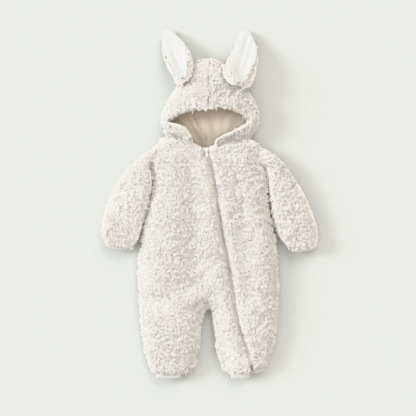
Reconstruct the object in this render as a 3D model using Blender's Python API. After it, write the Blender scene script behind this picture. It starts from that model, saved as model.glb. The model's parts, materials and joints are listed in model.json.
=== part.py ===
"""Baby romper of ivory plush, with a zip across the front and a hood with two rabbit ears.

The garment lies on its back, laid flat. +Z is up, +Y points from the legs to the ears and +X
points to the wearer's left. Lengths are in millimetres until a mesh is made. A level is a place
along Y, a column or share runs across the garment.
"""

import math

import bmesh
import bpy
from mathutils import Vector
from mathutils.bvhtree import BVHTree

MM = 0.001

# Colours and roughness of the cloths and of the zip.
PLUSH = ((0.83, 0.80, 0.74), 0.95)
LINING = ((0.56, 0.48, 0.37), 0.80)
SATIN = ((0.90, 0.90, 0.89), 0.55)
KNIT = ((0.86, 0.86, 0.84), 0.85)
TAPE = ((0.78, 0.75, 0.68), 0.85)
ZIP_PARTS = ((0.88, 0.87, 0.83), 0.35)

# Gap between two pieces at a seam, and half of it on each side of the seam.
SEAM_GAP = 0.4
HALF_GAP = SEAM_GAP / 2

# Heights above the surface that the garment lies on.
SIDE_SEAM = 14.0
SIDE_EDGE_TOP = 16.5
SIDE_EDGE_FOOT = 11.5
OPEN_EDGE_TOP = 23.0
OPEN_EDGE_FOOT = 2.0
ZIP_EDGE_TOP = 27.0
BACK_TOP = 15.0
FRONT_UNDER = 18.0

# Rounding of the plush towards its edges.
SIDE_ROUNDING = 56.0
FOOT_ROUNDING = 18.0
OPEN_ROUNDING = 20.0
ZIP_ROUNDING = 12.0
CLOSING_LENGTH = 26.0
ARMHOLE_STEEPNESS = 3.0
SHOULDER_STEEPNESS = 4.0

# Levels of the body.
NECK_LEVEL = 128.0
UNDERARM_LEVEL = 84.0
CROTCH_LEVEL = -214.0
HEM_LEVEL = -354.0
NECK_REACH = 75.0
ROWS_TO_CROTCH = 22
ROWS_TO_HEM = 10

BODY_COLUMNS = ("level", "right_side", "left_side", "crest")
BODY_ROWS = (
    (128, -110, 101, 28),
    (104, -114, 102, 31),
    (92, -122, 105, 32),
    (84, -126, 111, 33),
    (75, -122, 116, 34),
    (64, -118, 118, 34),
    (42, -115, 118, 35),
    (7, -121, 119, 35),
    (-37, -133, 126, 36),
    (-83, -141, 136, 37),
    (-140, -146, 140, 37),
    (-190, -145, 141, 36),
    (-262, -140, 137, 34),
    (-318, -130, 125, 32),
    (-341, -125, 117, 29),
    (-354, -116, 99, 26),
)

LEG_COLUMNS = ("level", "right_inner", "left_inner")
LEG_ROWS = (
    (-214, -2, -2),
    (-219, -11, 4),
    (-226, -15, 8),
    (-243, -19, 11),
    (-266, -22, 14),
    (-314, -27, 20),
    (-338, -32, 26),
    (-354, -46, 40),
)

# The zip line, and half the width of the groove between the two fronts.
ZIP_COLUMNS = ("level", "line", "groove")
ZIP_ROWS = (
    (128, -9, 7.5),
    (104, -5, 4.5),
    (81, 2.5, 4.0),
    (39, 10, 4.0),
    (-20, 19.5, 4.0),
    (-98, 32, 4.0),
    (-161, 43.5, 4.5),
    (-220, 53, 5.0),
    (-262, 62, 5.0),
    (-304, 77, 4.5),
    (-354, 91, 4.0),
)

# The front and the back neck edge, shoulders included.
NECK_COLUMNS = ("across", "front", "back")
NECK_ROWS = (
    (-110, 128, 128),
    (-102, 135.5, 135.5),
    (-92, 140, 139.5),
    (-79, 143, 134.5),
    (-66, 143, 128.5),
    (-57, 139.5, 124.5),
    (-42, 131.5, 118),
    (-27, 125.5, 113),
    (-14, 119.5, 110.5),
    (-2, 120, 110.5),
    (11, 125.5, 113),
    (38, 131.5, 122.5),
    (60, 135, 130.5),
    (84, 136, 136),
    (94, 132, 132),
    (101, 128, 128),
)
HOOD_START = -92.0
HOOD_END = 84.0

# Soft folds of the fronts: a line, and the depth and half width of the trough along it.
FOLD_END_SHARE = 0.6
FOLD_COLUMNS = ("from_x", "from_y", "to_x", "to_y", "depth", "width")
FOLD_ROWS = (
    (-134, -211, -62, -180, 4.0, 11),
    (-62, -180, -18, -168, 4.0, 10),
    (-52, 74, -20, 70, 2.5, 9),
    (60, 60, 78, -190, 6.0, 17),
    (99, 96, 107, 40, 6.0, 8),
    (-98, 120, -96, 70, 2.5, 12),
    (-38, 66, -30, -160, 7.0, 20),
    (100, -180, 60, -212, 2.5, 12),
)

# Sleeve sections from the armhole to the wrist: the two ends of each section and its height.
SLEEVE_COLUMNS = ("ring", "outer_x", "outer_y", "inner_x", "inner_y", "crest")
RIGHT_SLEEVE_ROWS = (
    (0, -110, 127.5, -126, 87, 23),
    (1, -122.5, 120, -129, 80, 27),
    (2, -136, 112, -126, 71, 30),
    (4, -164, 85, -118.5, 44, 31),
    (6, -193, 54, -124, 10, 31),
    (8, -215, 8, -133.5, -26, 30),
    (10, -229, -36, -142.5, -58, 29),
    (11, -231.5, -54, -145.5, -69, 27),
    (12, -229, -69, -148.5, -78, 24),
)
LEFT_SLEEVE_ROWS = (
    (0, 101.5, 127, 111, 86, 23),
    (1, 115, 122.5, 118.5, 77, 27),
    (2, 130, 115, 121.5, 65, 30),
    (4, 158, 87.5, 122.5, 38, 31),
    (6, 184, 51.5, 125.5, 7, 31),
    (8, 206, 12, 129.5, -22, 30),
    (10, 223, -30, 136.5, -55, 29),
    (11, 229, -54, 143.5, -69, 27),
    (12, 231, -75, 152, -81, 24),
)
SLEEVE_RINGS = 12
SLEEVE_SIDES = 20
SLEEVE_WALL = 9.0
SLEEVE_TOP_POWER = 0.8
SLEEVE_FOOT_STEEPNESS = 1.7
SLEEVE_FOOT_POWER = 0.9
SLEEVE_END_BOW = 15.0
SLEEVE_BOW_RINGS = 3
ARMHOLE_RINGS = 2.5
ARMHOLE_GAP = 0.7

# The flat slit inside the sleeves and the cuffs.
SLIT_MIDDLE = (BACK_TOP + FRONT_UNDER) / 2
SLIT_HALF = (FRONT_UNDER - BACK_TOP) / 2
SLIT_STEEPNESS = 2.5

# Cuffs: narrow bands that butt against the sleeve ends and the hems.
SLEEVE_CUFF_LENGTH = 8.0
ANKLE_CUFF_LENGTH = 13.0
CUFF_WALL = 3.0
CUFF_SIDES = 20
CUFF_STEPS = 2
CUFF_POWER = 0.6
SLEEVE_CUFF_SHARE = 0.74
ANKLE_CUFF_SPANS = {"right": (-114, -60), "left": (44, 84)}

# Hood ribs, fanned out from the face edge: the face edge with its height, the outline that the
# rib turns under at, and the level at which it reaches the centre seam of the underside.
HOOD_COLUMNS = ("rib", "rim_x", "rim_y", "rim_top", "edge_x", "edge_y", "back_level")
RIGHT_HOOD_RIBS = (
    (0, -35, 131, 27, -92, 141, 110.5),
    (1, -37, 141, 36, -96, 146, 118),
    (2, -39.5, 152, 40, -100, 151, 127),
    (3, -48, 161.5, 41, -103, 157, 138),
    (4, -62.5, 167, 40, -104.5, 163, 150),
    (5, -81, 170, 38, -105.5, 169, 163),
    (6, -90, 172, 37, -105.5, 175, 177),
    (7, -81.5, 178, 40, -104, 191, 196),
    (8, -62.5, 189, 43, -96, 214, 219),
    (9, -41.5, 194.5, 46, -79, 238, 243),
    (10, -22.5, 194.5, 47, -47, 281, 268),
    (10.5, -13.5, 195, 47, -26, 308, 280),
    (11, -4.7, 196, 47, -1.6, 312, 291),
)
LEFT_HOOD_RIBS = (
    (0, 12, 128, 27, 84.5, 137, 110.5),
    (1, 13, 136.5, 35, 92, 144, 118),
    (2, 25, 142, 39, 99, 150, 127),
    (3, 40, 149.5, 40, 104, 157, 138),
    (4, 56, 157, 39, 107, 164.5, 150),
    (5, 74, 166.5, 38, 108, 172, 163),
    (6, 85, 176.5, 37, 108, 180.5, 177),
    (7, 77, 182.5, 40, 105.5, 199.5, 196),
    (8, 59.5, 190, 43, 98, 222.5, 219),
    (9, 38.5, 196.5, 46, 82, 245, 243),
    (10, 16.5, 199, 47, 46, 285, 268),
    (10.5, 5.5, 198, 47, 22, 307, 280),
    (11, -4.7, 196, 47, -1.6, 312, 291),
)
HOOD_LAST_RIB = 11
HOOD_TOP_SHARES = (0.0, 0.07, 0.17, 0.30, 0.46, 0.62, 0.77, 0.90, 1.0)
HOOD_UNDER_SHARES = (0.05, 0.16, 0.36, 0.57, 0.78, 1.0)
HOOD_SEAM_FOOT = (-10.0, 110.0)
HOOD_SEAM_CROWN = (-1.6, 312.0)
HOOD_DOME_POWER = 3.0
HOOD_RIB_STATIONS = (0, 0.5, 1, 1.5, 2.2, 3, 4, 5, 6, 7, 8, 9, 9.6, 10.1, 10.5, 10.8, 11)
NECK_RIBS = 2.5
HOOD_WALL = 11.0
HOOD_NECK_WALL = 6.0
HOOD_EDGE_HEIGHT = 15.0
FACE_BAND = 18.0
FACE_BAND_RISE = 2.5
HOOD_EDGE_ROUNDING = 12.0
HOOD_NECK_GAP = 1.0
RIM_ROUNDING = 3.0
LINING_WALL = 2.0
LINING_GAP = 1.1
LINING_TURN_SHARE = 0.6
LINING_DEPTH = HOOD_WALL + LINING_GAP + LINING_WALL

# Ears, from the base on the hood to the tip: the two edges of each section.
EAR_COLUMNS = ("section", "low_x", "low_y", "high_x", "high_y")
RIGHT_EAR_ROWS = (
    (0, -67, 242, -46, 253),
    (1, -77, 261, -37, 272),
    (2, -88.5, 282, -35, 293),
    (3, -97, 304, -38, 314),
    (4, -101, 326, -46, 331),
    (5, -102, 341, -57, 345),
    (6, -101.5, 354, -69, 357),
    (6.6, -99, 363, -76, 364.5),
    (7, -92, 368, -83, 368.5),
)
LEFT_EAR_ROWS = (
    (0, 46.5, 243, 82.5, 238),
    (1, 33.5, 255, 92, 255),
    (2, 28.5, 276, 98, 276),
    (3, 33, 297, 102, 297),
    (4, 43.5, 316, 103.5, 316),
    (5, 51, 332, 100.5, 332),
    (6, 57, 346, 94.5, 346),
    (6.6, 62.5, 359, 89, 359),
    (7, 71, 367.5, 81, 367.5),
)
EAR_LAST_SECTION = 7
EAR_STEPS = 14
EAR_SHARES = (-1.0, -0.86, -0.6, -0.3, 0.0, 0.3, 0.6, 0.86, 1.0)
EAR_DROP = 34.0
EAR_DROP_POWER = 2.2
EAR_THICKNESS = 9.0
EAR_EDGE_THICKNESS = 4.0
EAR_CUP = 6.0
EAR_CUP_STARTS = 0.25
EAR_CUP_ENDS = 0.8
EAR_FREE_START = 305.0
EAR_FREE_END = 360.0
EAR_CLEARANCE = 0.3
EAR_LIFT = 0.1
EAR_SMOOTHING = 3
EAR_TIP_CROWDING = 1.4
SATIN_THICKNESS = 2.5
SATIN_GAP = 0.8
SATIN_BASE_SHARE = 0.28
SATIN_SPREAD = 0.55
PLEAT_DEPTH = 1.6
PLEAT_WAVES = 1.5
PLEAT_REACH = 0.75

# The zip: two tapes under the fronts' edges, the chain between them and the slider at the neck.
TAPE_WIDTH = 9.0
TAPE_THICKNESS = 0.8
TAPE_TOP_LEVEL = 127.0
ZIP_END_LEVEL = -338.0
CHAIN_HALF_WIDTH = 2.6
CHAIN_HEIGHT = 2.2
CHAIN_TOP_LEVEL = 115.5
ZIP_STEPS = 34
SLIDER_LEVEL = 121.0
SLIDER_LENGTH = 9.0
SLIDER_WIDTH = 7.5
SLIDER_NOSE = 5.2
SLIDER_HEIGHT = 3.6
SLIDER_CHAMFER = 1.0
BRIDGE_WIDTH = 1.6
BRIDGE_THICKNESS = 1.0
BRIDGE_SPAN = 7.0
BRIDGE_CLEARANCE = 2.6
BRIDGE_ROOT = 0.8
PULL_LENGTH = 14.0
PULL_HALF_WIDTH = 2.9
PULL_THICKNESS = 1.2
PULL_BAR = 0.6
PULL_HOLE_HALF_WIDTH = 1.4
PULL_HOLE_LENGTH = 5.2
PULL_LIFT = 0.5
PULL_EYE_WALL = 0.9
PULL_EYE_SQUARENESS = 1.4
PULL_RIM_SQUARENESS = 1.5
PULL_SIDES = 24


def clear_scene():
    """Remove whatever the open file holds."""
    for thing in list(bpy.data.objects):
        bpy.data.objects.remove(thing, do_unlink=True)


def material(name, paint):
    """Make a plain material from a colour and a roughness."""
    colour, roughness = paint
    made = bpy.data.materials.new(name)
    made.use_nodes = True
    shader = made.node_tree.nodes["Principled BSDF"]
    shader.inputs["Base Color"].default_value = (*colour, 1.0)
    shader.inputs["Roughness"].default_value = roughness
    return made


def add_object(name, mesh_builder, paint):
    """Turn a bmesh in metres into a named object with its own material."""
    bmesh.ops.recalc_face_normals(mesh_builder, faces=mesh_builder.faces)
    mesh = bpy.data.meshes.new(name)
    mesh_builder.to_mesh(mesh)
    mesh_builder.free()
    mesh.materials.append(material(name, paint))
    mesh.shade_smooth()
    mesh.set_sharp_from_angle(angle=math.radians(50))
    made = bpy.data.objects.new(name, mesh)
    bpy.context.scene.collection.objects.link(made)
    return made


def thick_sheet(name, cells, outer, inner, paint):
    """Close a wall between an outer and an inner surface that share one layout of cells.

    A cell lists its corners anticlockwise as seen from outside. outer and inner place a corner.
    Every cell is split along the same diagonal, so that sheets with one layout stay parallel.
    """
    builder = bmesh.new()
    corners = sorted({corner for cell in cells for corner in cell})
    outside = {corner: builder.verts.new(outer(*corner) * MM) for corner in corners}
    inside = {corner: builder.verts.new(inner(*corner) * MM) for corner in corners}
    edges = set()
    for cell in cells:
        first, second, third, fourth = cell
        for corner_set in ((first, second, third), (first, third, fourth)):
            builder.faces.new([outside[corner] for corner in corner_set])
            builder.faces.new([inside[corner] for corner in reversed(corner_set)])
        edges.update(zip(cell, cell[1:] + cell[:1]))
    for start, end in sorted(edges):
        if (end, start) not in edges:
            builder.faces.new((outside[end], outside[start], inside[start], inside[end]))
    return add_object(name, builder, paint)


def grid_cells(rows, columns, slit_row=None, slit_column=None):
    """Cells of a grid, with corners (row, column, bank).

    Below slit_row the grid is cut along slit_column, and bank tells the two sides apart.
    """
    def corner(row, column, bank):
        cut = slit_row is not None and row > slit_row
        return (row, column, bank if cut else 0)

    cells = []
    for row in range(rows):
        for column in range(columns):
            bank = 1 if slit_column is not None and column >= slit_column else 0
            cells.append((
                corner(row, column, bank),
                corner(row + 1, column, bank),
                corner(row + 1, column + 1, bank),
                corner(row, column + 1, bank),
            ))
    return cells


def ring_cells(rings, sides):
    """Cells of a tube with open ends, with corners (ring, side)."""
    return [
        ((ring, side), (ring + 1, side), (ring + 1, (side + 1) % sides), (ring, (side + 1) % sides))
        for ring in range(rings)
        for side in range(sides)
    ]


def table(columns, rows):
    """Return read(name, station): a smooth curve through a named column, by the first one."""
    ordered = sorted(rows)
    stations = [row[0] for row in ordered]
    last = len(stations) - 1

    def slope(values, place):
        before = max(place - 1, 0)
        after = min(place + 1, last)
        return (values[after] - values[before]) / (stations[after] - stations[before])

    def read(name, station):
        values = [row[columns.index(name)] for row in ordered]
        at = min(max(station, stations[0]), stations[-1])
        place = max(index for index in range(last) if stations[index] <= at)
        length = stations[place + 1] - stations[place]
        t = (at - stations[place]) / length
        rise = values[place + 1] - values[place]
        bend_start = slope(values, place) * length - rise
        bend_end = rise - slope(values, place + 1) * length
        return values[place] + rise * t + t * (1 - t) * (bend_start * (1 - t) + bend_end * t)

    return read


BODY = table(BODY_COLUMNS, BODY_ROWS)
LEGS = table(LEG_COLUMNS, LEG_ROWS)
ZIP = table(ZIP_COLUMNS, ZIP_ROWS)
NECK = table(NECK_COLUMNS, NECK_ROWS)


def lerp(start, end, share):
    """Mix two numbers or vectors."""
    return start + (end - start) * share


def ease(share):
    """Smooth step from 0 to 1."""
    t = min(max(share, 0.0), 1.0)
    return t * t * (3 - 2 * t)


def rounded(distance, radius):
    """Rise of a quarter circle, from 0 at an edge to 1 a radius away from it."""
    t = min(max(distance / radius, 0.0), 1.0)
    return math.sqrt(1 - (1 - t) ** 2)


def crowded(share):
    """Move evenly spaced shares towards both ends, where the plush rounds off."""
    return 0.5 * share + 0.25 * (1 - math.cos(math.pi * share))


def row_level(row):
    """Level of a body row before the neck shapes it."""
    if row <= ROWS_TO_CROTCH:
        return lerp(NECK_LEVEL, CROTCH_LEVEL, row / ROWS_TO_CROTCH)
    return lerp(CROTCH_LEVEL, HEM_LEVEL, ((row - ROWS_TO_CROTCH) / ROWS_TO_HEM) ** 1.2)


def side_edge(edge, level):
    """Side edge of the body as its rows make it, straight from row to row."""
    row = max(index for index in range(ROWS_TO_CROTCH) if row_level(index) >= level)
    above = row_level(row)
    below = row_level(row + 1)
    return lerp(BODY(edge, above), BODY(edge, below), (above - level) / (above - below))


def neck_shift(across, level, edge):
    """How far the neck edge pulls a body row up or down."""
    pull = ease((level - NECK_LEVEL) / NECK_REACH + 1)
    return (NECK(edge, across) - NECK_LEVEL) * pull


def closed_distance(across, level):
    """Distance to the nearest closed seam: sides, inner legs and shoulders."""
    armhole = max(0.0, level - UNDERARM_LEVEL)
    sides = min(across - BODY("right_side", level), BODY("left_side", level) - across)
    if level < CROTCH_LEVEL:
        inner = max(LEGS("right_inner", level) - across, across - LEGS("left_inner", level))
    else:
        inner = math.hypot(across - LEGS("right_inner", CROTCH_LEVEL), level - CROTCH_LEVEL)
    under_hood = max(0.0, min(across - HOOD_START, HOOD_END - across))
    shoulder = NECK_LEVEL - level + SHOULDER_STEEPNESS * under_hood
    return max(0.0, min(sides + ARMHOLE_STEEPNESS * armhole, inner, shoulder))


def open_distance(across, level):
    """Distance to the nearest open edge: neck, armholes and hems."""
    below_armhole = max(0.0, UNDERARM_LEVEL - level)
    sides = min(across - BODY("right_side", level), BODY("left_side", level) - across)
    beside_hood = max(0.0, HOOD_START - across, across - HOOD_END)
    neck = NECK_LEVEL - level + SHOULDER_STEEPNESS * beside_hood
    armhole = sides + ARMHOLE_STEEPNESS * below_armhole
    return max(0.0, min(armhole, neck, level - HEM_LEVEL))


def seam_opening(across, level):
    """How far the two layers have parted, 0 at a closed seam and 1 inside."""
    return ease(closed_distance(across, level) / CLOSING_LENGTH)


def fold_depth(x, y):
    """Depth of the soft folds at a place on the fronts."""
    depth = 0.0
    for row in FOLD_ROWS:
        fold = dict(zip(FOLD_COLUMNS, row))
        start = Vector((fold["from_x"], fold["from_y"]))
        run = Vector((fold["to_x"], fold["to_y"])) - start
        place = Vector((x, y)) - start
        share = min(max(place.dot(run) / run.length_squared, 0.0), 1.0)
        away = (place - run * share).length / fold["width"]
        strength = lerp(FOLD_END_SHARE, 1.0, math.sin(math.pi * share))
        depth += fold["depth"] * math.exp(-away * away) * strength
    return depth


def front_top(x, y, level):
    """Height of the fronts' outer side."""
    crest = BODY("crest", level)
    from_side = rounded(closed_distance(x, level), SIDE_ROUNDING)
    side_drop = (crest - SIDE_EDGE_TOP) * (1 - from_side)
    from_opening = rounded(open_distance(x, level), OPEN_ROUNDING)
    open_drop = (crest - OPEN_EDGE_TOP) * (1 - from_opening)
    from_zip = abs(x - ZIP("line", level)) - ZIP("groove", level)
    zip_drop = (crest - ZIP_EDGE_TOP) * (1 - rounded(from_zip, ZIP_ROUNDING))
    height = crest - math.sqrt(side_drop ** 2 + open_drop ** 2 + zip_drop ** 2)
    return max(height - fold_depth(x, y) * from_side, SIDE_EDGE_TOP)


def front_under(x, level):
    """Height of the fronts' inner side."""
    return lerp(SIDE_SEAM + HALF_GAP, FRONT_UNDER, seam_opening(x, level))


def back_top(x, level):
    """Height of the back's inner side."""
    return lerp(SIDE_SEAM - HALF_GAP, BACK_TOP, seam_opening(x, level))


def back_foot(x, level):
    """Height of the back's outer side, flat on the surface but for its rounded edges."""
    side_rise = SIDE_EDGE_FOOT * (1 - rounded(closed_distance(x, level), FOOT_ROUNDING))
    open_rise = OPEN_EDGE_FOOT * (1 - rounded(open_distance(x, level), FOOT_ROUNDING))
    return max(side_rise, open_rise)


def make_front_right():
    """Right front: right leg, crotch, and the left leg's inner strip as far as the zip."""
    columns_to_crotch = 10
    columns_to_zip = 4
    columns = columns_to_crotch + columns_to_zip
    rows = ROWS_TO_CROTCH + ROWS_TO_HEM

    def zip_edge(level):
        return ZIP("line", level) - ZIP("groove", level)

    side_at_crotch = BODY("right_side", CROTCH_LEVEL)
    crotch = LEGS("right_inner", CROTCH_LEVEL)
    crotch_share = (crotch - side_at_crotch) / (zip_edge(CROTCH_LEVEL) - side_at_crotch)

    def place(row, column, bank):
        level = row_level(row)
        side = BODY("right_side", level)
        if row <= ROWS_TO_CROTCH:
            inner = outer = lerp(side, zip_edge(level), crotch_share)
        else:
            inner = LEGS("right_inner", level)
            outer = LEGS("left_inner", level)
        if column < columns_to_crotch or (column == columns_to_crotch and bank == 0):
            x = lerp(side, inner, crowded(column / columns_to_crotch))
        else:
            x = lerp(outer, zip_edge(level), (column - columns_to_crotch) / columns_to_zip)
        return x, level

    def outer_point(row, column, bank):
        x, level = place(row, column, bank)
        y = level + neck_shift(x, level, "front")
        return Vector((x, y, front_top(x, y, level)))

    def inner_point(row, column, bank):
        x, level = place(row, column, bank)
        y = level + neck_shift(x, level, "front")
        return Vector((x, y, front_under(x, level)))

    cells = grid_cells(rows, columns, ROWS_TO_CROTCH, columns_to_crotch)
    return thick_sheet("front_right_panel", cells, outer_point, inner_point, PLUSH)


def make_front_left():
    """Left front, from the zip to the left side seam."""
    columns = 9
    rows = ROWS_TO_CROTCH + ROWS_TO_HEM

    def place(row, column):
        level = row_level(row)
        start = ZIP("line", level) + ZIP("groove", level)
        return lerp(start, BODY("left_side", level), crowded(column / columns)), level

    def outer_point(row, column, bank):
        x, level = place(row, column)
        y = level + neck_shift(x, level, "front")
        return Vector((x, y, front_top(x, y, level)))

    def inner_point(row, column, bank):
        x, level = place(row, column)
        y = level + neck_shift(x, level, "front")
        return Vector((x, y, front_under(x, level)))

    return thick_sheet("front_left_panel", grid_cells(rows, columns), outer_point, inner_point, PLUSH)


def make_back():
    """Back with both legs, flat where it rests."""
    columns_to_crotch = 9
    columns = 2 * columns_to_crotch
    rows = ROWS_TO_CROTCH + ROWS_TO_HEM
    crotch = LEGS("right_inner", CROTCH_LEVEL)
    right_at_crotch = BODY("right_side", CROTCH_LEVEL)
    left_at_crotch = BODY("left_side", CROTCH_LEVEL)
    crotch_share = (crotch - right_at_crotch) / (left_at_crotch - right_at_crotch)

    def place(row, column, bank):
        level = row_level(row)
        right = BODY("right_side", level)
        left = BODY("left_side", level)
        if row <= ROWS_TO_CROTCH:
            inner = outer = lerp(right, left, crotch_share)
        else:
            inner = LEGS("right_inner", level)
            outer = LEGS("left_inner", level)
        if column < columns_to_crotch or (column == columns_to_crotch and bank == 0):
            x = lerp(right, inner, crowded(column / columns_to_crotch))
        else:
            x = lerp(outer, left, crowded((column - columns_to_crotch) / columns_to_crotch))
        return x, level

    def outer_point(row, column, bank):
        x, level = place(row, column, bank)
        return Vector((x, level + neck_shift(x, level, "back"), back_foot(x, level)))

    def inner_point(row, column, bank):
        x, level = place(row, column, bank)
        return Vector((x, level + neck_shift(x, level, "back"), back_top(x, level)))

    cells = grid_cells(rows, columns, ROWS_TO_CROTCH, columns_to_crotch)
    turned = [tuple(reversed(cell)) for cell in cells]
    return thick_sheet("back_panel", turned, outer_point, inner_point, PLUSH)


class Sleeve:
    """Shape of one sleeve, by ring from the armhole to the wrist."""

    def __init__(self, rows, body_edge):
        self.read = table(SLEEVE_COLUMNS, rows)
        self.body_edge = body_edge
        self.outward = -1 if body_edge == "right_side" else 1

    def ends(self, ring):
        """Outer and inner end of a section."""
        outer = Vector((self.read("outer_x", ring), self.read("outer_y", ring)))
        inner = Vector((self.read("inner_x", ring), self.read("inner_y", ring)))
        return outer, inner

    def along(self, ring):
        """Direction of the sleeve at a section."""
        before = sum(self.ends(max(ring - 1, 0)), Vector((0, 0)))
        after = sum(self.ends(min(ring + 1, SLEEVE_RINGS)), Vector((0, 0)))
        return (after - before).normalized()

    def plan(self, ring, across):
        """Place in a section as seen from above, across from -1 outside to 1 inside."""
        outer, inner = self.ends(ring)
        bow_share = ease((ring - SLEEVE_RINGS) / SLEEVE_BOW_RINGS + 1)
        bow = SLEEVE_END_BOW * bow_share * (1 - across ** 4)
        straight = lerp(outer, inner, (across + 1) / 2) + self.along(ring) * bow
        armhole = side_edge(self.body_edge, straight.y) + self.outward * ARMHOLE_GAP
        return lerp(straight, Vector((armhole, straight.y)), ease(1 - ring / ARMHOLE_RINGS))


def around(side, sides):
    """Cosine and sine of a place round a section."""
    angle = 2 * math.pi * side / sides
    return math.cos(angle), math.sin(angle)


def make_sleeve(name, rows, body_edge):
    """Sleeve: a flattened tube from the armhole to the wrist, flat where it rests."""
    sleeve = Sleeve(rows, body_edge)

    def outer_point(ring, side):
        across, up = around(side, SLEEVE_SIDES)
        place = sleeve.plan(ring, across)
        if up >= 0:
            z = lerp(SIDE_SEAM, sleeve.read("crest", ring), up ** SLEEVE_TOP_POWER)
        else:
            foot = OPEN_EDGE_FOOT * ease(1 - ring)
            down = min(1.0, -up * SLEEVE_FOOT_STEEPNESS) ** SLEEVE_FOOT_POWER
            z = lerp(SIDE_SEAM, foot, down)
        return Vector((place.x, place.y, z))

    def inner_point(ring, side):
        across, up = around(side, SLEEVE_SIDES)
        outer, inner = sleeve.ends(ring)
        width = (outer - inner).length
        place = sleeve.plan(ring, across * (1 - 2 * SLEEVE_WALL / width))
        rise = SLIT_HALF * max(-1.0, min(1.0, SLIT_STEEPNESS * up))
        return Vector((place.x, place.y, SLIT_MIDDLE + rise))

    cells = ring_cells(SLEEVE_RINGS, SLEEVE_SIDES)
    if sleeve.outward > 0:
        cells = [tuple(reversed(cell)) for cell in cells]
    return thick_sheet(name, cells, outer_point, inner_point, PLUSH)


def flat_tube(name, plan, half_width, paint):
    """Narrow flattened band. plan(step, across) places it, across from -1 to 1."""
    def height(up, half_height):
        return SLIT_MIDDLE + half_height * math.copysign(abs(up) ** CUFF_POWER, up)

    def outer_point(step, side):
        across, up = around(side, CUFF_SIDES)
        place = plan(step, across)
        return Vector((place.x, place.y, height(up, SLIT_HALF + CUFF_WALL)))

    def inner_point(step, side):
        across, up = around(side, CUFF_SIDES)
        place = plan(step, across * (1 - CUFF_WALL / half_width))
        return Vector((place.x, place.y, height(up, SLIT_HALF)))

    return thick_sheet(name, ring_cells(CUFF_STEPS, CUFF_SIDES), outer_point, inner_point, paint)


def make_sleeve_cuff(name, rows, body_edge):
    """Smooth band that stands out of the end of a sleeve."""
    sleeve = Sleeve(rows, body_edge)
    outer, inner = sleeve.ends(SLEEVE_RINGS)
    half_width = (outer - inner).length / 2 * SLEEVE_CUFF_SHARE

    def cuff_plan(step, across):
        start = sleeve.plan(SLEEVE_RINGS, across * SLEEVE_CUFF_SHARE)
        reach = SEAM_GAP + SLEEVE_CUFF_LENGTH * step / CUFF_STEPS
        return start + sleeve.along(SLEEVE_RINGS) * reach

    return flat_tube(name, cuff_plan, half_width, KNIT)


def make_ankle_cuff(name, span):
    """Smooth band that stands out of a leg."""
    middle = sum(span) / 2
    half_width = (span[1] - span[0]) / 2

    def cuff_plan(step, across):
        y = HEM_LEVEL - SEAM_GAP - ANKLE_CUFF_LENGTH * step / CUFF_STEPS
        return Vector((middle + across * half_width, y))

    return flat_tube(name, cuff_plan, half_width, KNIT)


def hood_surface(ribs, seam_side):
    """Return point(rib, step, depth): a place on a hood half, depth measured into the wall.

    Steps run along a rib from the face edge over the top to the outline, and then along the
    underside to the centre seam.
    """
    read = table(HOOD_COLUMNS, ribs)
    steps = len(HOOD_TOP_SHARES) + len(HOOD_UNDER_SHARES) - 1
    neck_start = read("rim_x", 0)
    neck_end = read("edge_x", 0)

    def seam_x(y):
        foot_x, foot_y = HOOD_SEAM_FOOT
        crown_x, crown_y = HOOD_SEAM_CROWN
        return lerp(foot_x, crown_x, (y - foot_y) / (crown_y - foot_y))

    def neck_pull(rib):
        return ease(1 - rib / NECK_RIBS)

    def top_plan(rib, share):
        rim = Vector((read("rim_x", rib), read("rim_y", rib)))
        edge = Vector((read("edge_x", rib), read("edge_y", rib)))
        place = lerp(rim, edge, share)
        x = lerp(neck_start, neck_end, share)
        straight = lerp(read("rim_y", 0), read("edge_y", 0), share)
        place.y += (NECK("front", x) + HOOD_NECK_GAP - straight) * neck_pull(rib)
        return place

    def under_plan(rib, share, turn_share):
        level = read("back_level", rib)
        place = lerp(top_plan(rib, turn_share), Vector((seam_x(level), level)), share)
        turn_x = lerp(neck_start, neck_end, turn_share)
        first_level = read("back_level", 0)
        x = lerp(turn_x, seam_x(first_level), share)
        straight = lerp(NECK("front", turn_x) + HOOD_NECK_GAP, first_level, share)
        place.y += (NECK("back", x) + HOOD_NECK_GAP - straight) * neck_pull(rib)
        return place

    def neck_thinning(rib):
        return lerp(HOOD_NECK_WALL, HOOD_WALL, ease(rib / NECK_RIBS)) / HOOD_WALL

    def point(rib, step, depth):
        length = (top_plan(rib, 1.0) - top_plan(rib, 0.0)).length
        turn_share = 1 - min(depth / length, LINING_TURN_SHARE * depth / LINING_DEPTH)
        if step < len(HOOD_TOP_SHARES):
            share = HOOD_TOP_SHARES[step]
            place = top_plan(rib, share * turn_share)
            rim_top = read("rim_top", rib) - depth * neck_thinning(rib)
            z = lerp(HOOD_EDGE_HEIGHT, rim_top, math.sqrt(1 - share ** HOOD_DOME_POWER))
            band = (length * share - FACE_BAND / 2) / (FACE_BAND / 2)
            z += FACE_BAND_RISE * math.exp(-band * band) * (1 - neck_pull(rib)) * (1 - share)
            if step == 0:
                z -= RIM_ROUNDING * (1 - 2 * min(depth / HOOD_WALL, 1.0))
        else:
            share = HOOD_UNDER_SHARES[step - len(HOOD_TOP_SHARES)]
            place = under_plan(rib, share, turn_share)
            run = share * (under_plan(rib, 1.0, 1.0) - top_plan(rib, 1.0)).length
            z = lerp(depth, HOOD_EDGE_HEIGHT, 1 - rounded(run, HOOD_EDGE_ROUNDING))
        x = place.x
        if rib == HOOD_LAST_RIB or step == steps:
            x += seam_side * HALF_GAP
        return Vector((x, place.y, z))

    return point, steps


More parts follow.
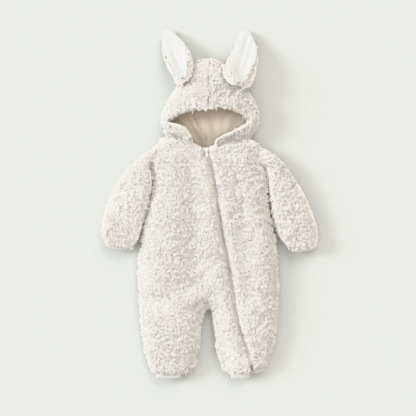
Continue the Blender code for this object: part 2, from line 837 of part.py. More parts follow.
def make_hood(name, ribs, seam_side):
    """One half of the hood, from the face edge over the top and under to the centre seam."""
    point, steps = hood_surface(ribs, seam_side)

    def outer_point(row, step, bank):
        return point(HOOD_RIB_STATIONS[row], step, 0.0)

    def inner_point(row, step, bank):
        return point(HOOD_RIB_STATIONS[row], step, HOOD_WALL)

    cells = grid_cells(len(HOOD_RIB_STATIONS) - 1, steps)
    if seam_side > 0:
        cells = [tuple(reversed(cell)) for cell in cells]
    return thick_sheet(name, cells, outer_point, inner_point, PLUSH)


def make_hood_lining(name, ribs, seam_side):
    """One half of the smooth lining, just inside the hood's wall."""
    point, steps = hood_surface(ribs, seam_side)

    def outer_point(row, step, bank):
        return point(HOOD_RIB_STATIONS[row], step + 1, HOOD_WALL + LINING_GAP)

    def inner_point(row, step, bank):
        return point(HOOD_RIB_STATIONS[row], step + 1, LINING_DEPTH)

    cells = grid_cells(len(HOOD_RIB_STATIONS) - 1, steps - 1)
    if seam_side > 0:
        cells = [tuple(reversed(cell)) for cell in cells]
    return thick_sheet(name, cells, outer_point, inner_point, LINING)


def seat_height(tree, x, y):
    """Lowest height at a place that is clear of what a search tree holds, or 0 beside it."""
    hit = tree.ray_cast(Vector((x, y, 1000)) * MM, Vector((0, 0, -1)))
    return 0.0 if hit[0] is None else hit[0].z / MM + EAR_CLEARANCE


def overlaps(first, second):
    """Whether the faces of two objects cross."""
    graph = bpy.context.evaluated_depsgraph_get()
    return bool(BVHTree.FromObject(first, graph).overlap(BVHTree.FromObject(second, graph)))


def smoothed(heights, rows, columns):
    """Average every height of a grid with its neighbours."""
    def neighbours(row, column):
        around = ((row - 1, column), (row + 1, column), (row, column - 1), (row, column + 1))
        return [heights[place] for place in around if place in heights]

    means = {}
    for row in range(rows + 1):
        for column in range(columns + 1):
            beside = neighbours(row, column)
            means[row, column] = lerp(heights[row, column], sum(beside) / len(beside), 0.5)
    return means


def ear_layers(rows, carrier):
    """Return point(row, column, layer): a place on an ear that rests on the hood.

    Layer 0 is the plush side's foot, 1 its top, 2 the satin's foot and 3 the satin's top.
    """
    read = table(EAR_COLUMNS, rows)
    tree = BVHTree.FromObject(carrier, bpy.context.evaluated_depsgraph_get())
    last = len(EAR_SHARES) - 1

    def way(row):
        return 1 - (1 - row / EAR_STEPS) ** EAR_TIP_CROWDING

    def across(row, column):
        share = EAR_SHARES[column]
        if abs(share) < 1:
            share *= lerp(SATIN_BASE_SHARE, 1.0, ease(way(row) / SATIN_SPREAD))
        return share

    def plan(row, column):
        section = EAR_LAST_SECTION * way(row)
        low = Vector((read("low_x", section), read("low_y", section)))
        high = Vector((read("high_x", section), read("high_y", section)))
        return lerp(low, high, (across(row, column) + 1) / 2)

    def first_foot(row, column):
        place = plan(row, column)
        cup = EAR_CUP * across(row, column) ** 2 * ease(way(row) / EAR_CUP_STARTS)
        cup *= 1 - ease((way(row) - EAR_CUP_ENDS) / (1 - EAR_CUP_ENDS))
        drop = EAR_DROP * (1 - way(row)) ** EAR_DROP_POWER
        return max(drop + cup, seat_height(tree, place.x, place.y))

    feet = {
        (row, column): first_foot(row, column)
        for row in range(EAR_STEPS + 1)
        for column in range(last + 1)
    }
    for turn in range(EAR_SMOOTHING):
        feet = smoothed(feet, EAR_STEPS, last)
    lowest = min(feet.values())

    def thickness(share):
        return lerp(EAR_EDGE_THICKNESS, EAR_THICKNESS, 1 - share ** 4)

    def point(row, column, layer):
        place = plan(row, column)
        share = across(row, column)
        z = feet[row, column] - lowest
        if layer > 0:
            z += thickness(share)
        if layer > 1:
            z += SATIN_GAP
        if layer > 2:
            strength = math.sqrt(1 - ease(way(row) / PLEAT_REACH))
            pleats = math.cos(2 * math.pi * PLEAT_WAVES * EAR_SHARES[column]) * strength
            z += SATIN_THICKNESS + PLEAT_DEPTH * (1 + pleats)
        return Vector((place.x, place.y, z))

    return point


def raise_ear(layers, rise):
    """Lift the part of an ear that lies on the hood, and leave its tip where it rests."""
    for layer in layers:
        for vertex in layer.data.vertices:
            beyond = (vertex.co.y / MM - EAR_FREE_START) / (EAR_FREE_END - EAR_FREE_START)
            vertex.co.z += rise * MM * (1 - ease(beyond))
    bpy.context.view_layer.update()


def make_ear(side, rows, carrier):
    """Both layers of an ear, set down on the hood."""
    point = ear_layers(rows, carrier)
    last = len(EAR_SHARES) - 1

    def on_layer(layer):
        def corner_point(row, column, bank):
            return point(row, column, layer)
        return corner_point

    cells = [tuple(reversed(cell)) for cell in grid_cells(EAR_STEPS, last)]
    within = [
        cell for cell in cells
        if all(0 < row < EAR_STEPS and 0 < column < last for row, column, bank in cell)
    ]
    outer = thick_sheet(f"ear_{side}_outer", cells, on_layer(1), on_layer(0), PLUSH)
    inner = thick_sheet(f"ear_{side}_inner", within, on_layer(3), on_layer(2), SATIN)
    while overlaps(outer, carrier):
        raise_ear((outer, inner), EAR_LIFT)
    raise_ear((outer, inner), EAR_CLEARANCE)


def zip_place(level):
    """Place of the zip line at a level, drawn down with the neck edge."""
    x = ZIP("line", level)
    return Vector((x, level + neck_shift(x, level, "front")))


def make_zip_strip(name, span, heights, top_level, paint):
    """Strip along the zip, across a span beside its line, at heights over the fronts' inner side."""
    def strip_point(rise):
        def corner_point(step, column, bank):
            level = lerp(top_level, ZIP_END_LEVEL, step / ZIP_STEPS)
            place = zip_place(level)
            x = place.x + span[column]
            return Vector((x, place.y, front_under(x, level) + rise))
        return corner_point

    foot, top = heights
    cells = grid_cells(ZIP_STEPS, 1)
    return thick_sheet(name, cells, strip_point(top), strip_point(foot), paint)


def slider_pose():
    """Place of the slider's foot and its turn about Z, with its own +Y up the zip."""
    place = zip_place(SLIDER_LEVEL)
    way = zip_place(SLIDER_LEVEL + 4) - zip_place(SLIDER_LEVEL - 4)
    foot = front_under(place.x, SLIDER_LEVEL)
    return Vector((place.x, place.y, foot)), math.atan2(-way.x, way.y)


def prism(name, outline, low, high, axis, paint):
    """Straight solid over an anticlockwise outline, along Z or, with axis X, across the zip."""
    builder = bmesh.new()

    def corner(point, height):
        if axis == "Z":
            return builder.verts.new(Vector((point[0], point[1], height)) * MM)
        return builder.verts.new(Vector((height, point[0], point[1])) * MM)

    bottom = [corner(point, low) for point in outline]
    top = [corner(point, high) for point in outline]
    builder.faces.new(list(reversed(bottom)))
    builder.faces.new(top)
    for index, start in enumerate(bottom):
        after = (index + 1) % len(bottom)
        builder.faces.new((start, bottom[after], top[after], top[index]))
    return add_object(name, builder, paint)


def make_slider():
    """Slider with a bridge along it that holds the pull tab."""
    half = SLIDER_LENGTH / 2
    wide = SLIDER_WIDTH / 2
    nose = SLIDER_NOSE / 2
    cut = SLIDER_CHAMFER
    body = prism("zip_slider", (
        (-nose, -half), (nose, -half), (wide, 0), (wide, half - cut),
        (wide - cut, half), (cut - wide, half), (-wide, half - cut), (-wide, 0),
    ), 0.0, SLIDER_HEIGHT, "Z", ZIP_PARTS)
    reach = BRIDGE_SPAN / 2
    sole = SLIDER_HEIGHT - BRIDGE_ROOT
    ceiling = SLIDER_HEIGHT + BRIDGE_CLEARANCE
    within = reach - BRIDGE_THICKNESS
    crown = ceiling + BRIDGE_THICKNESS
    bridge = prism("slider_bridge", (
        (-reach, sole), (-within, sole), (-within, ceiling), (within, ceiling), (within, sole),
        (reach, sole), (reach, ceiling), (within, crown), (-within, crown), (-reach, ceiling),
    ), -BRIDGE_WIDTH / 2, BRIDGE_WIDTH / 2, "X", ZIP_PARTS)
    bridge.hide_render = True
    bridge.display_type = "WIRE"
    union = body.modifiers.new("bridge", "BOOLEAN")
    union.operation = "UNION"
    union.object = bridge
    place, turn = slider_pose()
    for piece in (body, bridge):
        piece.location = place * MM
        piece.rotation_euler.z = turn


def make_pull():
    """Pull tab: a flat tab whose eye goes round the slider's bridge, with its origin on its axis."""
    hole_middle = PULL_BAR + PULL_HOLE_LENGTH / 2

    def squared(across, squareness):
        return max(-1.0, min(1.0, across * squareness))

    def eye(across, up):
        x = PULL_HOLE_HALF_WIDTH * squared(across, PULL_EYE_SQUARENESS)
        return Vector((x, -hole_middle + PULL_HOLE_LENGTH / 2 * up))

    def rim(across, up):
        along = (1 - up) / 2
        half = lerp(PULL_HOLE_HALF_WIDTH + PULL_EYE_WALL, PULL_HALF_WIDTH, ease(along))
        x = half * squared(across, PULL_RIM_SQUARENESS)
        return Vector((x, lerp(PULL_BAR, -PULL_LENGTH, along)))

    def face(height):
        def corner_point(ring, side):
            outline = (eye, rim)[ring]
            plan = outline(*around(side, PULL_SIDES))
            return Vector((plan.x, plan.y, height))
        return corner_point

    half_height = PULL_THICKNESS / 2
    cells = ring_cells(1, PULL_SIDES)
    pull = thick_sheet("zip_pull", cells, face(half_height), face(-half_height), ZIP_PARTS)
    place, turn = slider_pose()
    rise = SLIDER_HEIGHT + PULL_LIFT + half_height
    pull.location = (place + Vector((0, 0, rise))) * MM
    pull.rotation_euler.z = turn


def centre_all():
    """Put the middle of the garment's outline over the origin."""
    bpy.context.view_layer.update()
    corners = [
        made.matrix_world @ Vector(corner)
        for made in bpy.data.objects if not made.hide_render
        for corner in made.bound_box
    ]
    middle_x = (min(corner.x for corner in corners) + max(corner.x for corner in corners)) / 2
    middle_y = (min(corner.y for corner in corners) + max(corner.y for corner in corners)) / 2
    for made in bpy.data.objects:
        made.location -= Vector((middle_x, middle_y, 0))


def main():
    """Build every piece."""
    clear_scene()
    make_front_right()
    make_front_left()
    make_back()
    make_sleeve("sleeve_right", RIGHT_SLEEVE_ROWS, "right_side")
    make_sleeve("sleeve_left", LEFT_SLEEVE_ROWS, "left_side")
    make_sleeve_cuff("sleeve_cuff_right", RIGHT_SLEEVE_ROWS, "right_side")
    make_sleeve_cuff("sleeve_cuff_left", LEFT_SLEEVE_ROWS, "left_side")
    for side, span in ANKLE_CUFF_SPANS.items():
        make_ankle_cuff(f"ankle_cuff_{side}", span)
    hood_right = make_hood("hood_right", RIGHT_HOOD_RIBS, -1)
    hood_left = make_hood("hood_left", LEFT_HOOD_RIBS, 1)
    make_hood_lining("hood_lining_right", RIGHT_HOOD_RIBS, -1)
    make_hood_lining("hood_lining_left", LEFT_HOOD_RIBS, 1)
    make_ear("right", RIGHT_EAR_ROWS, hood_right)
    make_ear("left", LEFT_EAR_ROWS, hood_left)
    tape_heights = (-SEAM_GAP - TAPE_THICKNESS, -SEAM_GAP)
    make_zip_strip("zip_tape_right", (-TAPE_WIDTH, -HALF_GAP), tape_heights, TAPE_TOP_LEVEL, TAPE)
    make_zip_strip("zip_tape_left", (HALF_GAP, TAPE_WIDTH), tape_heights, TAPE_TOP_LEVEL, TAPE)
    chain_span = (-CHAIN_HALF_WIDTH, CHAIN_HALF_WIDTH)
    make_zip_strip("zip_chain", chain_span, (0.0, CHAIN_HEIGHT), CHAIN_TOP_LEVEL, ZIP_PARTS)
    make_slider()
    make_pull()
    centre_all()


main()
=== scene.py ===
"""Looks of a baby romper of ivory plush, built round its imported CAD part.

The garment lies on its back. +Z is up, +Y points to the ears and +X to the wearer's left. Every
plush panel is a cloth that is drawn in from its solid by the room that the pile takes, and carries
thousands of small bent locks. The lining, the satin of the ears, the cuffs and the zip replace
their solids with finer forms. Lengths are in metres.
"""

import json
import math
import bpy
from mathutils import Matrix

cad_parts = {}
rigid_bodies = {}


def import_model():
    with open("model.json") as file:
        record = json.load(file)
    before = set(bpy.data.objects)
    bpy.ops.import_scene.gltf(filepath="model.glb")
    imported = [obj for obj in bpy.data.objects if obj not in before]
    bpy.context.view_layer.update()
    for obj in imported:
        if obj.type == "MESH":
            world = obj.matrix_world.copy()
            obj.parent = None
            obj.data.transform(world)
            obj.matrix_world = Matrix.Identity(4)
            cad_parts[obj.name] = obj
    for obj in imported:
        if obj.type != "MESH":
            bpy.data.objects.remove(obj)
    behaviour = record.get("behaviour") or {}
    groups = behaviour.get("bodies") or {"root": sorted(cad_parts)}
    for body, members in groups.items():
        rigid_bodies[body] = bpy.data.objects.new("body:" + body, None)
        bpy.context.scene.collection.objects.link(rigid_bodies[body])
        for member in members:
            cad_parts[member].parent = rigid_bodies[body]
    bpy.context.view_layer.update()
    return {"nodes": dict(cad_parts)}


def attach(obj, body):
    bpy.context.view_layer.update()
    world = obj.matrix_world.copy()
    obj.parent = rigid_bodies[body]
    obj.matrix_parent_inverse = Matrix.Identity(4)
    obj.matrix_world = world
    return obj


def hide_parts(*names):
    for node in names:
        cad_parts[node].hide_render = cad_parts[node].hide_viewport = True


bl_info = {
    "name": "Plush romper",
    "version": (1, 0, 0),
    "blender": (4, 5, 0),
    "location": "3D View > Sidebar > Romper",
    "description": "Dresses the romper's solids in plush, lining, satin, knit and a zip",
    "category": "Object",
}

import bmesh
import bpy
import numpy as np
from bpy.props import FloatProperty, FloatVectorProperty, IntProperty, PointerProperty
from bpy.types import Operator, Panel, PropertyGroup
from mathutils import Vector
from mathutils.bvhtree import BVHTree
from mathutils.kdtree import KDTree

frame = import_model()

MM = 0.001
GARMENT = "garment"
PULL_TAB = "pull_tab"

# Plush panels: the node, its cloth's flat cut (width, length and area) and the lie of its pile.
PANEL_COLUMNS = ("node", "width", "length", "area", "lie")
PANEL_ROWS = (
    ("front_right_panel", 0.235, 0.50, 0.081, "down"),
    ("front_left_panel", 0.145, 0.50, 0.047, "down"),
    ("back_panel", 0.290, 0.50, 0.125, "down"),
    ("sleeve_right", 0.200, 0.20, 0.031, "right_arm"),
    ("sleeve_left", 0.195, 0.20, 0.031, "left_arm"),
    ("hood_right", 0.200, 0.20, 0.029, "hood"),
    ("hood_left", 0.200, 0.20, 0.032, "hood"),
    ("ear_right_outer", 0.075, 0.13, 0.007, "right_ear"),
    ("ear_left_outer", 0.075, 0.13, 0.008, "left_ear"),
)

# Ways that the pile is brushed, for each lie.
LIES = {
    "down": (0.0, -1.0, 0.0),
    "right_arm": (-0.45, -0.89, 0.0),
    "left_arm": (0.45, -0.89, 0.0),
    "hood": (0.0, -1.0, 0.0),
    "right_ear": (-0.28, 0.96, 0.0),
    "left_ear": (0.10, 0.99, 0.0),
}

# Middle of each ear at its base and its tip, and the level above which no pile turns in over its
# front.
EAR_MIDDLES = {
    "right_ear": ((-0.0565, 0.247), (-0.087, 0.368)),
    "left_ear": ((0.064, 0.240), (0.076, 0.367)),
}
EAR_BARE_FROM = 0.320

# The hood's centre seam: the levels of its ends, their places across, and how near a lining half's
# edge is to it.
SEAM_LINE = ((0.10955, 0.31155), (-0.0097, -0.0013))
SEAM_REACH = 0.4 * MM

# Folds of the lining and of the ears, in millimetres: a line, its height, which is less than 0 for
# a valley, and its half width.
FOLD_COLUMNS = ("from_x", "from_y", "to_x", "to_y", "height", "width")
LINING_FOLD_ROWS = (
    (-66, 184, -30, 128, 3.5, 5.5),
    (-44, 192, -10, 128, 4.5, 5.0),
    (-16, 200, 4, 128, 3.5, 8),
    (20, 200, 19, 146, 2.0, 7),
    (49, 196, 33, 150, 2.5, 8),
)
EAR_FOLD_ROWS = (
    (-78, 318, -52, 262, -3.0, 4),
    (-52, 322, -50, 264, 1.8, 4),
    (80, 350, 64, 292, -2.6, 4),
    (64, 292, 49, 244, -3.0, 4),
    (92, 342, 75, 284, -2.0, 4),
)

# Painted shade darkens the lining at the neck's level, where the collar shades it; it reaches
# # its own colour a rise farther up.
LINING_NECK = 0.122
LINING_RISE = 0.045
NECK_SHADE = 0.50

# Cloth under the pile: the start of a ray off it, the reach of rays over and beside it, the room
# of the locks' own thickness, the share of its wall that it sinks at most, and its lowest level.
SKIN = 0.3 * MM
COVER_REACH = 4.5 * MM
BESIDE_REACH = 5 * MM
LOCK_ROOM = 1.4 * MM
WALL_SHARE = 0.45
THICKEST_WALL = 60 * MM
UNKNOWN_WALL = 4 * MM
LOWEST = 0.5 * MM

# Parts of a normal that tell which way a place faces.
FACES_UP_OR_DOWN = 0.35
TOP_OF_SEAM = 0.25
FACES_SIDEWAYS = 0.3
UNDERSIDE = -0.45

# Pile by the zip: combed along it in a strip, bare in the groove and smaller near it. The zip's
# line has steps, and counts a little way past its upper end.
ZIP_STEP = 4 * MM
ZIP_OVERRUN = 12 * MM
ZIP_STRIP = 9 * MM
ZIP_COMB = 2.0
GROOVE_HALF_WIDTH = 4.2 * MM
SMALLER_WITHIN = 8 * MM
SMALLER_BY = 0.4

# Soft noise: the strength, size and seed of each layer, and the level of the lumps' middle.
LUMP_LAYERS = ((1.1, 24 * MM, 11), (1.0, 11 * MM, 12))
LUMP_LEVEL = -1.0
SWIRL_LAYERS = ((0.9, 26 * MM, 21), (0.6, 9 * MM, 22))
NOISE_VALUES = 4096
NOISE_PRIMES = (73856093, 19349663, 83492791)

# Way of the pile: its parting over the hood, its turn on an ear's top and edge, the size of an
# ear's locks, how much the pile hangs, and its lean over the seam to the next panel.
HOOD_PARTING = 0.16
HOOD_MOST = 0.7
EAR_HALF_WIDTH = 30 * MM
EAR_TOP_TURN = -1.6
EAR_EDGE_TURN = 0.5
EAR_LOCK_SIZE = 0.8
HANG = 0.25
LEAN_REACH = 6 * MM
LEAN_MOST = 0.95

# Locks: throws for each cell, the width of those underneath, least and greatest shares of sizes
# and of closeness to the cloth, curl, depth of the root, arch, run, and pull to a clump's leader.
THROWS = 2.6
UNDER_WIDTH = 1.3
LENGTH_SHARES = (0.65, 1.25)
HEIGHT_SHARES = (0.8, 1.15)
CLUMP_SHARES = (0.65, 1.35)
CLOSENESS_SHARES = (0.65, 1.0)
CURL = 1.5 * MM
CURL_TURN = 4.5
ROOT_DEPTH = 1.0 * MM
ARCH = 0.58 * math.pi
RUN_POWER = 1.15
CLUMP_PULL = 0.55

# A lock's mesh: its rings and its tip along it, the girth of its rings, its sides, its thickness
# for its width and its lowest level, and the most locks of one piece.
LOCK_STATIONS = (0.0, 0.55, 1.0)
LOCK_GIRTHS = (1.0, 0.85)
LOCK_SIDES = 3
LOCK_FLATNESS = 0.75
LOWEST_LOCK = 0.1 * MM
LARGEST_PILE = 18000

# Rims of the face opening: the strength of their tufts, and their lines across and up in
# millimetres. The tufts' locks are larger, drawn closer together and looser on the cloth.
RIM_LINES = (
    (1.0, (-85.6, -66.7, -41.5, -16.3, 8.9, 34.1, 59.3, 84.5),
     (175.4, 190.1, 198.5, 202.7, 200.6, 194.3, 190.1, 179.6)),
    (0.7, (-91.9, -70.9, -49.9, -37.3), (169.1, 166.9, 154.4, 137.6)),
    (0.7, (8.9, 29.9, 59.3, 84.5), (133.4, 143.9, 158.6, 173.3)),
)
RIM_REACH = 12 * MM
RIM_LEVEL = 20 * MM
TUFT_GROWTH = 0.45
TUFT_PULL = 0.3
TUFT_LOOSENESS = 0.85

# Cuffs: the node, and the way round and the depth of its flat band.
CUFF_ROWS = (
    ("sleeve_cuff_right", 0.12, 0.010),
    ("sleeve_cuff_left", 0.12, 0.010),
    ("ankle_cuff_right", 0.11, 0.014),
    ("ankle_cuff_left", 0.085, 0.014),
)

# Zip: a tooth's middle and size, the fittings' bevels, and the angle from which an edge is sharp.
TOOTH_MIDDLE = (1.1 * MM, 0, -0.9 * MM)
TOOTH_SIZE = (2.8 * MM, 1.5 * MM, 1.8 * MM)
FITTING_BEVELS = (("zip_slider", 0.45 * MM), ("zip_pull", 0.35 * MM))
SHARP_ANGLE = math.radians(40)

# Stage: each light's width in degrees, colour and way, the colour of the light from all round,
# the camera's place and the level that it frames.
WINDOW_LIGHT = (24, (0.90, 0.96, 1.0), (2.2, -0.5, -0.78))
FILL_LIGHT = (40, (1.0, 0.97, 0.92), (-0.4, -1.0, -0.7))
SKY_COLOUR = (1.0, 0.95, 0.882, 1.0)
CAMERA_PLACE = (-3.7 * MM, -9.45 * MM)
FRAMED_LEVEL = 20 * MM


class PlushSettings(PropertyGroup):
    """Sizes and colours of the plush."""

    pile_height: FloatProperty(
        name="Pile height", description="Height of the locks over the cloth",
        default=3.6 * MM, min=0.5 * MM, unit="LENGTH")
    lock_length: FloatProperty(
        name="Lock length", description="Length of a lock along the cloth",
        default=10.5 * MM, min=1 * MM, unit="LENGTH")
    lock_width: FloatProperty(
        name="Lock width", description="Half the width of a lock at its root",
        default=0.86 * MM, min=0.2 * MM, unit="LENGTH")
    lock_spacing: FloatProperty(
        name="Lock spacing", description="Distance between locks where they show",
        default=1.8 * MM, min=1 * MM, unit="LENGTH")
    under_spacing: FloatProperty(
        name="Under spacing", description="Distance between locks on the side that it lies on",
        default=5.2 * MM, min=1 * MM, unit="LENGTH")
    clump_spacing: FloatProperty(
        name="Clump spacing", description="Distance between the clumps that locks gather in",
        default=8.0 * MM, min=2 * MM, unit="LENGTH")
    # Painted shade: the colour deep in the pile, darker and warmer than the tips.
    shaded_root_colour: FloatVectorProperty(
        name="Root colour", description="Colour deep in the pile",
        default=(0.89, 0.82, 0.73), size=3, min=0, max=1, subtype="COLOR")
    tip_colour: FloatVectorProperty(
        name="Tip colour", description="Colour of the ends of the locks",
        default=(0.922, 0.915, 0.895), size=3, min=0, max=1, subtype="COLOR")
    seed: IntProperty(name="Seed", description="Seed of the locks' scatter", default=7, min=0)


class TrimSettings(PropertyGroup):
    """Sizes and colours of the lining, the satin, the cuffs and the zip."""

    lining_colour: FloatVectorProperty(
        name="Lining colour", description="Colour of the hood's lining",
        default=(0.525, 0.465, 0.385), size=3, min=0, max=1, subtype="COLOR")
    lining_weave: FloatProperty(
        name="Lining weave", description="Distance between the lining's threads",
        default=0.9 * MM, min=0.1 * MM, unit="LENGTH")
    satin_colour: FloatVectorProperty(
        name="Satin colour", description="Colour of the ears' inner side",
        default=(0.51, 0.515, 0.515), size=3, min=0, max=1, subtype="COLOR")
    knit_colour: FloatVectorProperty(
        name="Knit colour", description="Colour of the cuffs",
        default=(0.48, 0.48, 0.475), size=3, min=0, max=1, subtype="COLOR")
    knit_rib: FloatProperty(
        name="Knit rib", description="Width of a rib of the cuffs",
        default=1.6 * MM, min=0.2 * MM, unit="LENGTH")
    tape_colour: FloatVectorProperty(
        name="Tape colour", description="Colour of the zip's tapes",
        default=(0.90, 0.87, 0.82), size=3, min=0, max=1, subtype="COLOR")
    plastic_colour: FloatVectorProperty(
        name="Plastic colour", description="Colour of the zip's teeth, slider and pull tab",
        default=(0.86, 0.84, 0.79), size=3, min=0, max=1, subtype="COLOR")
    tooth_pitch: FloatProperty(
        name="Tooth pitch", description="Distance between teeth of one row",
        default=2.6 * MM, min=0.5 * MM, unit="LENGTH")


class StageSettings(PropertyGroup):
    """Floor, light and camera."""

    floor_colour: FloatVectorProperty(
        name="Floor colour", description="Colour of the surface under the garment",
        default=(0.509, 0.528, 0.524), size=3, min=0, max=1, subtype="COLOR")
    frame_width: FloatProperty(
        name="Frame width", description="Width of what the camera sees at the garment",
        default=0.8736, min=0.1, unit="LENGTH")
    camera_height: FloatProperty(
        name="Camera height", description="Height of the camera above the floor",
        default=2.2, min=0.5, unit="LENGTH")
    sun_strength: FloatProperty(
        name="Sun strength", description="Strength of the soft light from the left",
        default=4.4, min=0)
    fill_strength: FloatProperty(
        name="Fill strength", description="Strength of the weak light from beyond the ears",
        default=1.5, min=0)
    sky_strength: FloatProperty(
        name="Sky strength", description="Strength of the light from all round",
        default=1.18, min=0)


class Value:
    """A node's output with arithmetic. node adds any other kind of node."""

    def __init__(self, tree, socket):
        self.tree = tree
        self.socket = socket

    def node(self, kind, settings=None, sockets=None, output=0):
        """Add a node: its settings first, then the values or links of its sockets."""
        made = self.tree.nodes.new(kind)
        for name, setting in (settings or {}).items():
            if name == "stops":
                ramp = made.color_ramp.elements
                while len(ramp) < len(setting):
                    ramp.new(0.5)
                for element, (position, tint) in zip(ramp, setting):
                    element.position = position
                    element.color = (*tint, 1.0)
            else:
                setattr(made, name, setting)
        for name, value in (sockets or {}).items():
            if isinstance(value, Value):
                self.tree.links.new(value.socket, made.inputs[name])
            else:
                made.inputs[name].default_value = value
        return Value(self.tree, made.outputs[output])

    def maths(self, operation, first, second):
        """Add a Math node."""
        return self.node("ShaderNodeMath", {"operation": operation}, {0: first, 1: second})

    def __add__(self, other):
        return self.maths("ADD", self, other)

    __radd__ = __add__

    def __sub__(self, other):
        return self.maths("SUBTRACT", self, other)

    def __rsub__(self, other):
        return self.maths("SUBTRACT", other, self)

    def __mul__(self, other):
        return self.maths("MULTIPLY", self, other)

    __rmul__ = __mul__

    def noise(self, size, detail=2.0):
        """Noise over this place, with bumps of about a size."""
        sockets = {"Vector": self, "Scale": 1 / size, "Detail": detail, "Roughness": 0.55}
        return self.node("ShaderNodeTexNoise", None, sockets)

    def wave(self, size, axis):
        """Straight threads across an axis, a size apart: at scale 1 they are tau / 20 apart."""
        sockets = {"Vector": self, "Scale": math.tau / 20 / size, "Distortion": 0.6, "Detail": 1.0}
        return self.node("ShaderNodeTexWave", {"bands_direction": axis}, sockets)

    def ramp(self, *stops):
        """Colours by this value."""
        return self.node("ShaderNodeValToRGB", {"stops": stops}, {"Fac": self})

    def shades(self, tint, dark, light, margin=0.3):
        """A colour, from a dark to a light share of it by this value, between two margins."""
        return self.ramp((margin, scaled(tint, dark)), (1 - margin, scaled(tint, light)))

    def mix(self, first, second):
        """Mix two colours by this value."""
        settings = {"data_type": "RGBA"}
        sockets = {0: self, 6: colour(first), 7: colour(second)}
        return self.node("ShaderNodeMix", settings, sockets, 2)

    def bump(self, distance, strength=1.0):
        """Normal of a relief that is this value times a distance high."""
        sockets = {"Height": self, "Distance": distance, "Strength": strength}
        return self.node("ShaderNodeBump", None, sockets)


def colour(value):
    """A colour socket's value: three numbers with an opaque fourth, or a link as it is."""
    return value if isinstance(value, Value) else (*value, 1.0)


def scaled(tint, share):
    """A colour made darker or lighter."""
    return tuple(min(1.0, part * share) for part in tint)


def between(first, second, share):
    """A colour a share of the way from the first to the second."""
    return tuple(one + share * (two - one) for one, two in zip(first, second))


class Finish:
    """A material that is built round its Principled shader, which takes the constants."""

    def __init__(self, name, **constants):
        self.material = bpy.data.materials.new(name)
        self.material.use_nodes = True
        self.tree = self.material.node_tree
        self.shader = self.tree.nodes["Principled BSDF"]
        for socket, number in constants.items():
            self.shader.inputs[socket.replace("_", " ")].default_value = number
        corner = self.tree.nodes.new("ShaderNodeTexCoord")
        self.place = Value(self.tree, corner.outputs["Object"])

    def attribute(self, name):
        """A number kept at the vertices of the mesh."""
        return self.place.node("ShaderNodeAttribute", {"attribute_name": name}, None, "Fac")

    def weave(self, pitch):
        """Threads both ways, a pitch apart."""
        return self.place.wave(pitch, "X") * self.place.wave(pitch, "Y")

    def fed(self, **links):
        """Link values to the shader's sockets, and give back the material."""
        for socket, value in links.items():
            self.tree.links.new(value.socket, self.shader.inputs[socket.replace("_", " ")])
        return self.material


def plush_cloth_finish(settings):
    """Ground of the plush, seen between the locks: curly, with painted shade in its hollows."""
    finish = Finish("plush_ground", Sheen_Weight=0.25)
    curls = finish.place.noise(size=3 * MM, detail=3.0)
    tint = between(settings.shaded_root_colour, settings.tip_colour, 0.9)
    # Painted shade: the curls that raise the relief also darken the colour where it is low.
    return finish.fed(
        Base_Color=curls.shades(tint, dark=0.86, light=0.97),
        Roughness=0.85 + 0.1 * curls,
        Normal=curls.bump(distance=1.2 * MM))


def plush_lock_finish(settings):
    """Locks: warmer at the root as painted shade, ivory at the tip, each a little different."""
    finish = Finish(
        "plush_locks", Sheen_Weight=0.1, Specular_IOR_Level=0.15, Subsurface_Weight=0.25,
        Subsurface_Scale=1.2 * MM, Subsurface_Radius=(1.0, 0.85, 0.7))
    root = tuple(settings.shaded_root_colour)
    tip = tuple(settings.tip_colour)
    middle = between(root, tip, 0.65)
    height = finish.attribute("pile_height")
    tone = finish.attribute("pile_tone")
    drift = finish.place.noise(size=60 * MM)
    # Painted shade: from the root colour deep in the pile to the ivory tips.
    along = height.ramp((0.0, root), (0.35, middle), (0.8, tip))
    fibres = finish.place.noise(size=0.7 * MM)
    warmer = (0.30 * tone + 0.35 * drift).mix(along, scaled(middle, 0.96))
    return finish.fed(
        Base_Color=warmer,
        Roughness=0.78 + 0.15 * fibres,
        Normal=fibres.bump(distance=0.25 * MM, strength=0.6))


def lining_finish(settings):
    """Smooth woven lining, with painted shade that darkens it towards the neck."""
    finish = Finish("lining", Sheen_Weight=0.15)
    weave = finish.weave(settings.lining_weave)
    drift = finish.place.noise(size=25 * MM)
    tint = tuple(settings.lining_colour)
    level = finish.place.node("ShaderNodeSeparateXYZ", None, {0: finish.place}, "Y")
    rising = (level - LINING_NECK) * (1 / LINING_RISE)
    # Painted shade: the colour falls to a share of its own towards the neck's level.
    painted_neck_shade = rising.ramp((0.0, scaled(tint, NECK_SHADE)), (1.0, tint))
    return finish.fed(
        Base_Color=(0.5 * drift).mix(painted_neck_shade, scaled(tint, 0.92)),
        Roughness=0.70 + 0.12 * weave,
        Normal=weave.bump(distance=0.12 * MM, strength=0.5))


def satin_finish(settings):
    """Short bright velvet with a soft sheen."""
    finish = Finish("ear_satin", Sheen_Weight=0.4)
    nap = finish.place.noise(size=0.8 * MM, detail=3.0)
    drift = finish.place.noise(size=18 * MM)
    return finish.fed(
        Base_Color=drift.shades(settings.satin_colour, dark=0.97, light=1.03),
        Roughness=0.5 + 0.15 * nap,
        Normal=nap.bump(distance=0.1 * MM, strength=0.4))


def knit_finish(settings):
    """Narrow ribbed knit."""
    finish = Finish("cuff_knit", Sheen_Weight=0.2)
    ribs = finish.place.wave(settings.knit_rib, "X")
    stitches = finish.place.wave(settings.knit_rib * 0.7, "Y")
    relief = ribs * 0.7 + stitches * 0.3
    tint = settings.knit_colour
    return finish.fed(
        Base_Color=ribs.shades(tint, dark=0.9, light=1.05, margin=0.2),
        Roughness=0.75 + 0.15 * stitches,
        Normal=relief.bump(distance=0.4 * MM, strength=0.8))


def tape_finish(settings):
    """Woven tape of the zip."""
    finish = Finish("zip_tape_weave")
    weave = finish.weave(0.7 * MM)
    tint = settings.tape_colour
    return finish.fed(
        Base_Color=weave.shades(tint, dark=0.92, light=1.05, margin=0.2),
        Roughness=0.75 + 0.15 * weave,
        Normal=weave.bump(distance=0.15 * MM, strength=0.6))


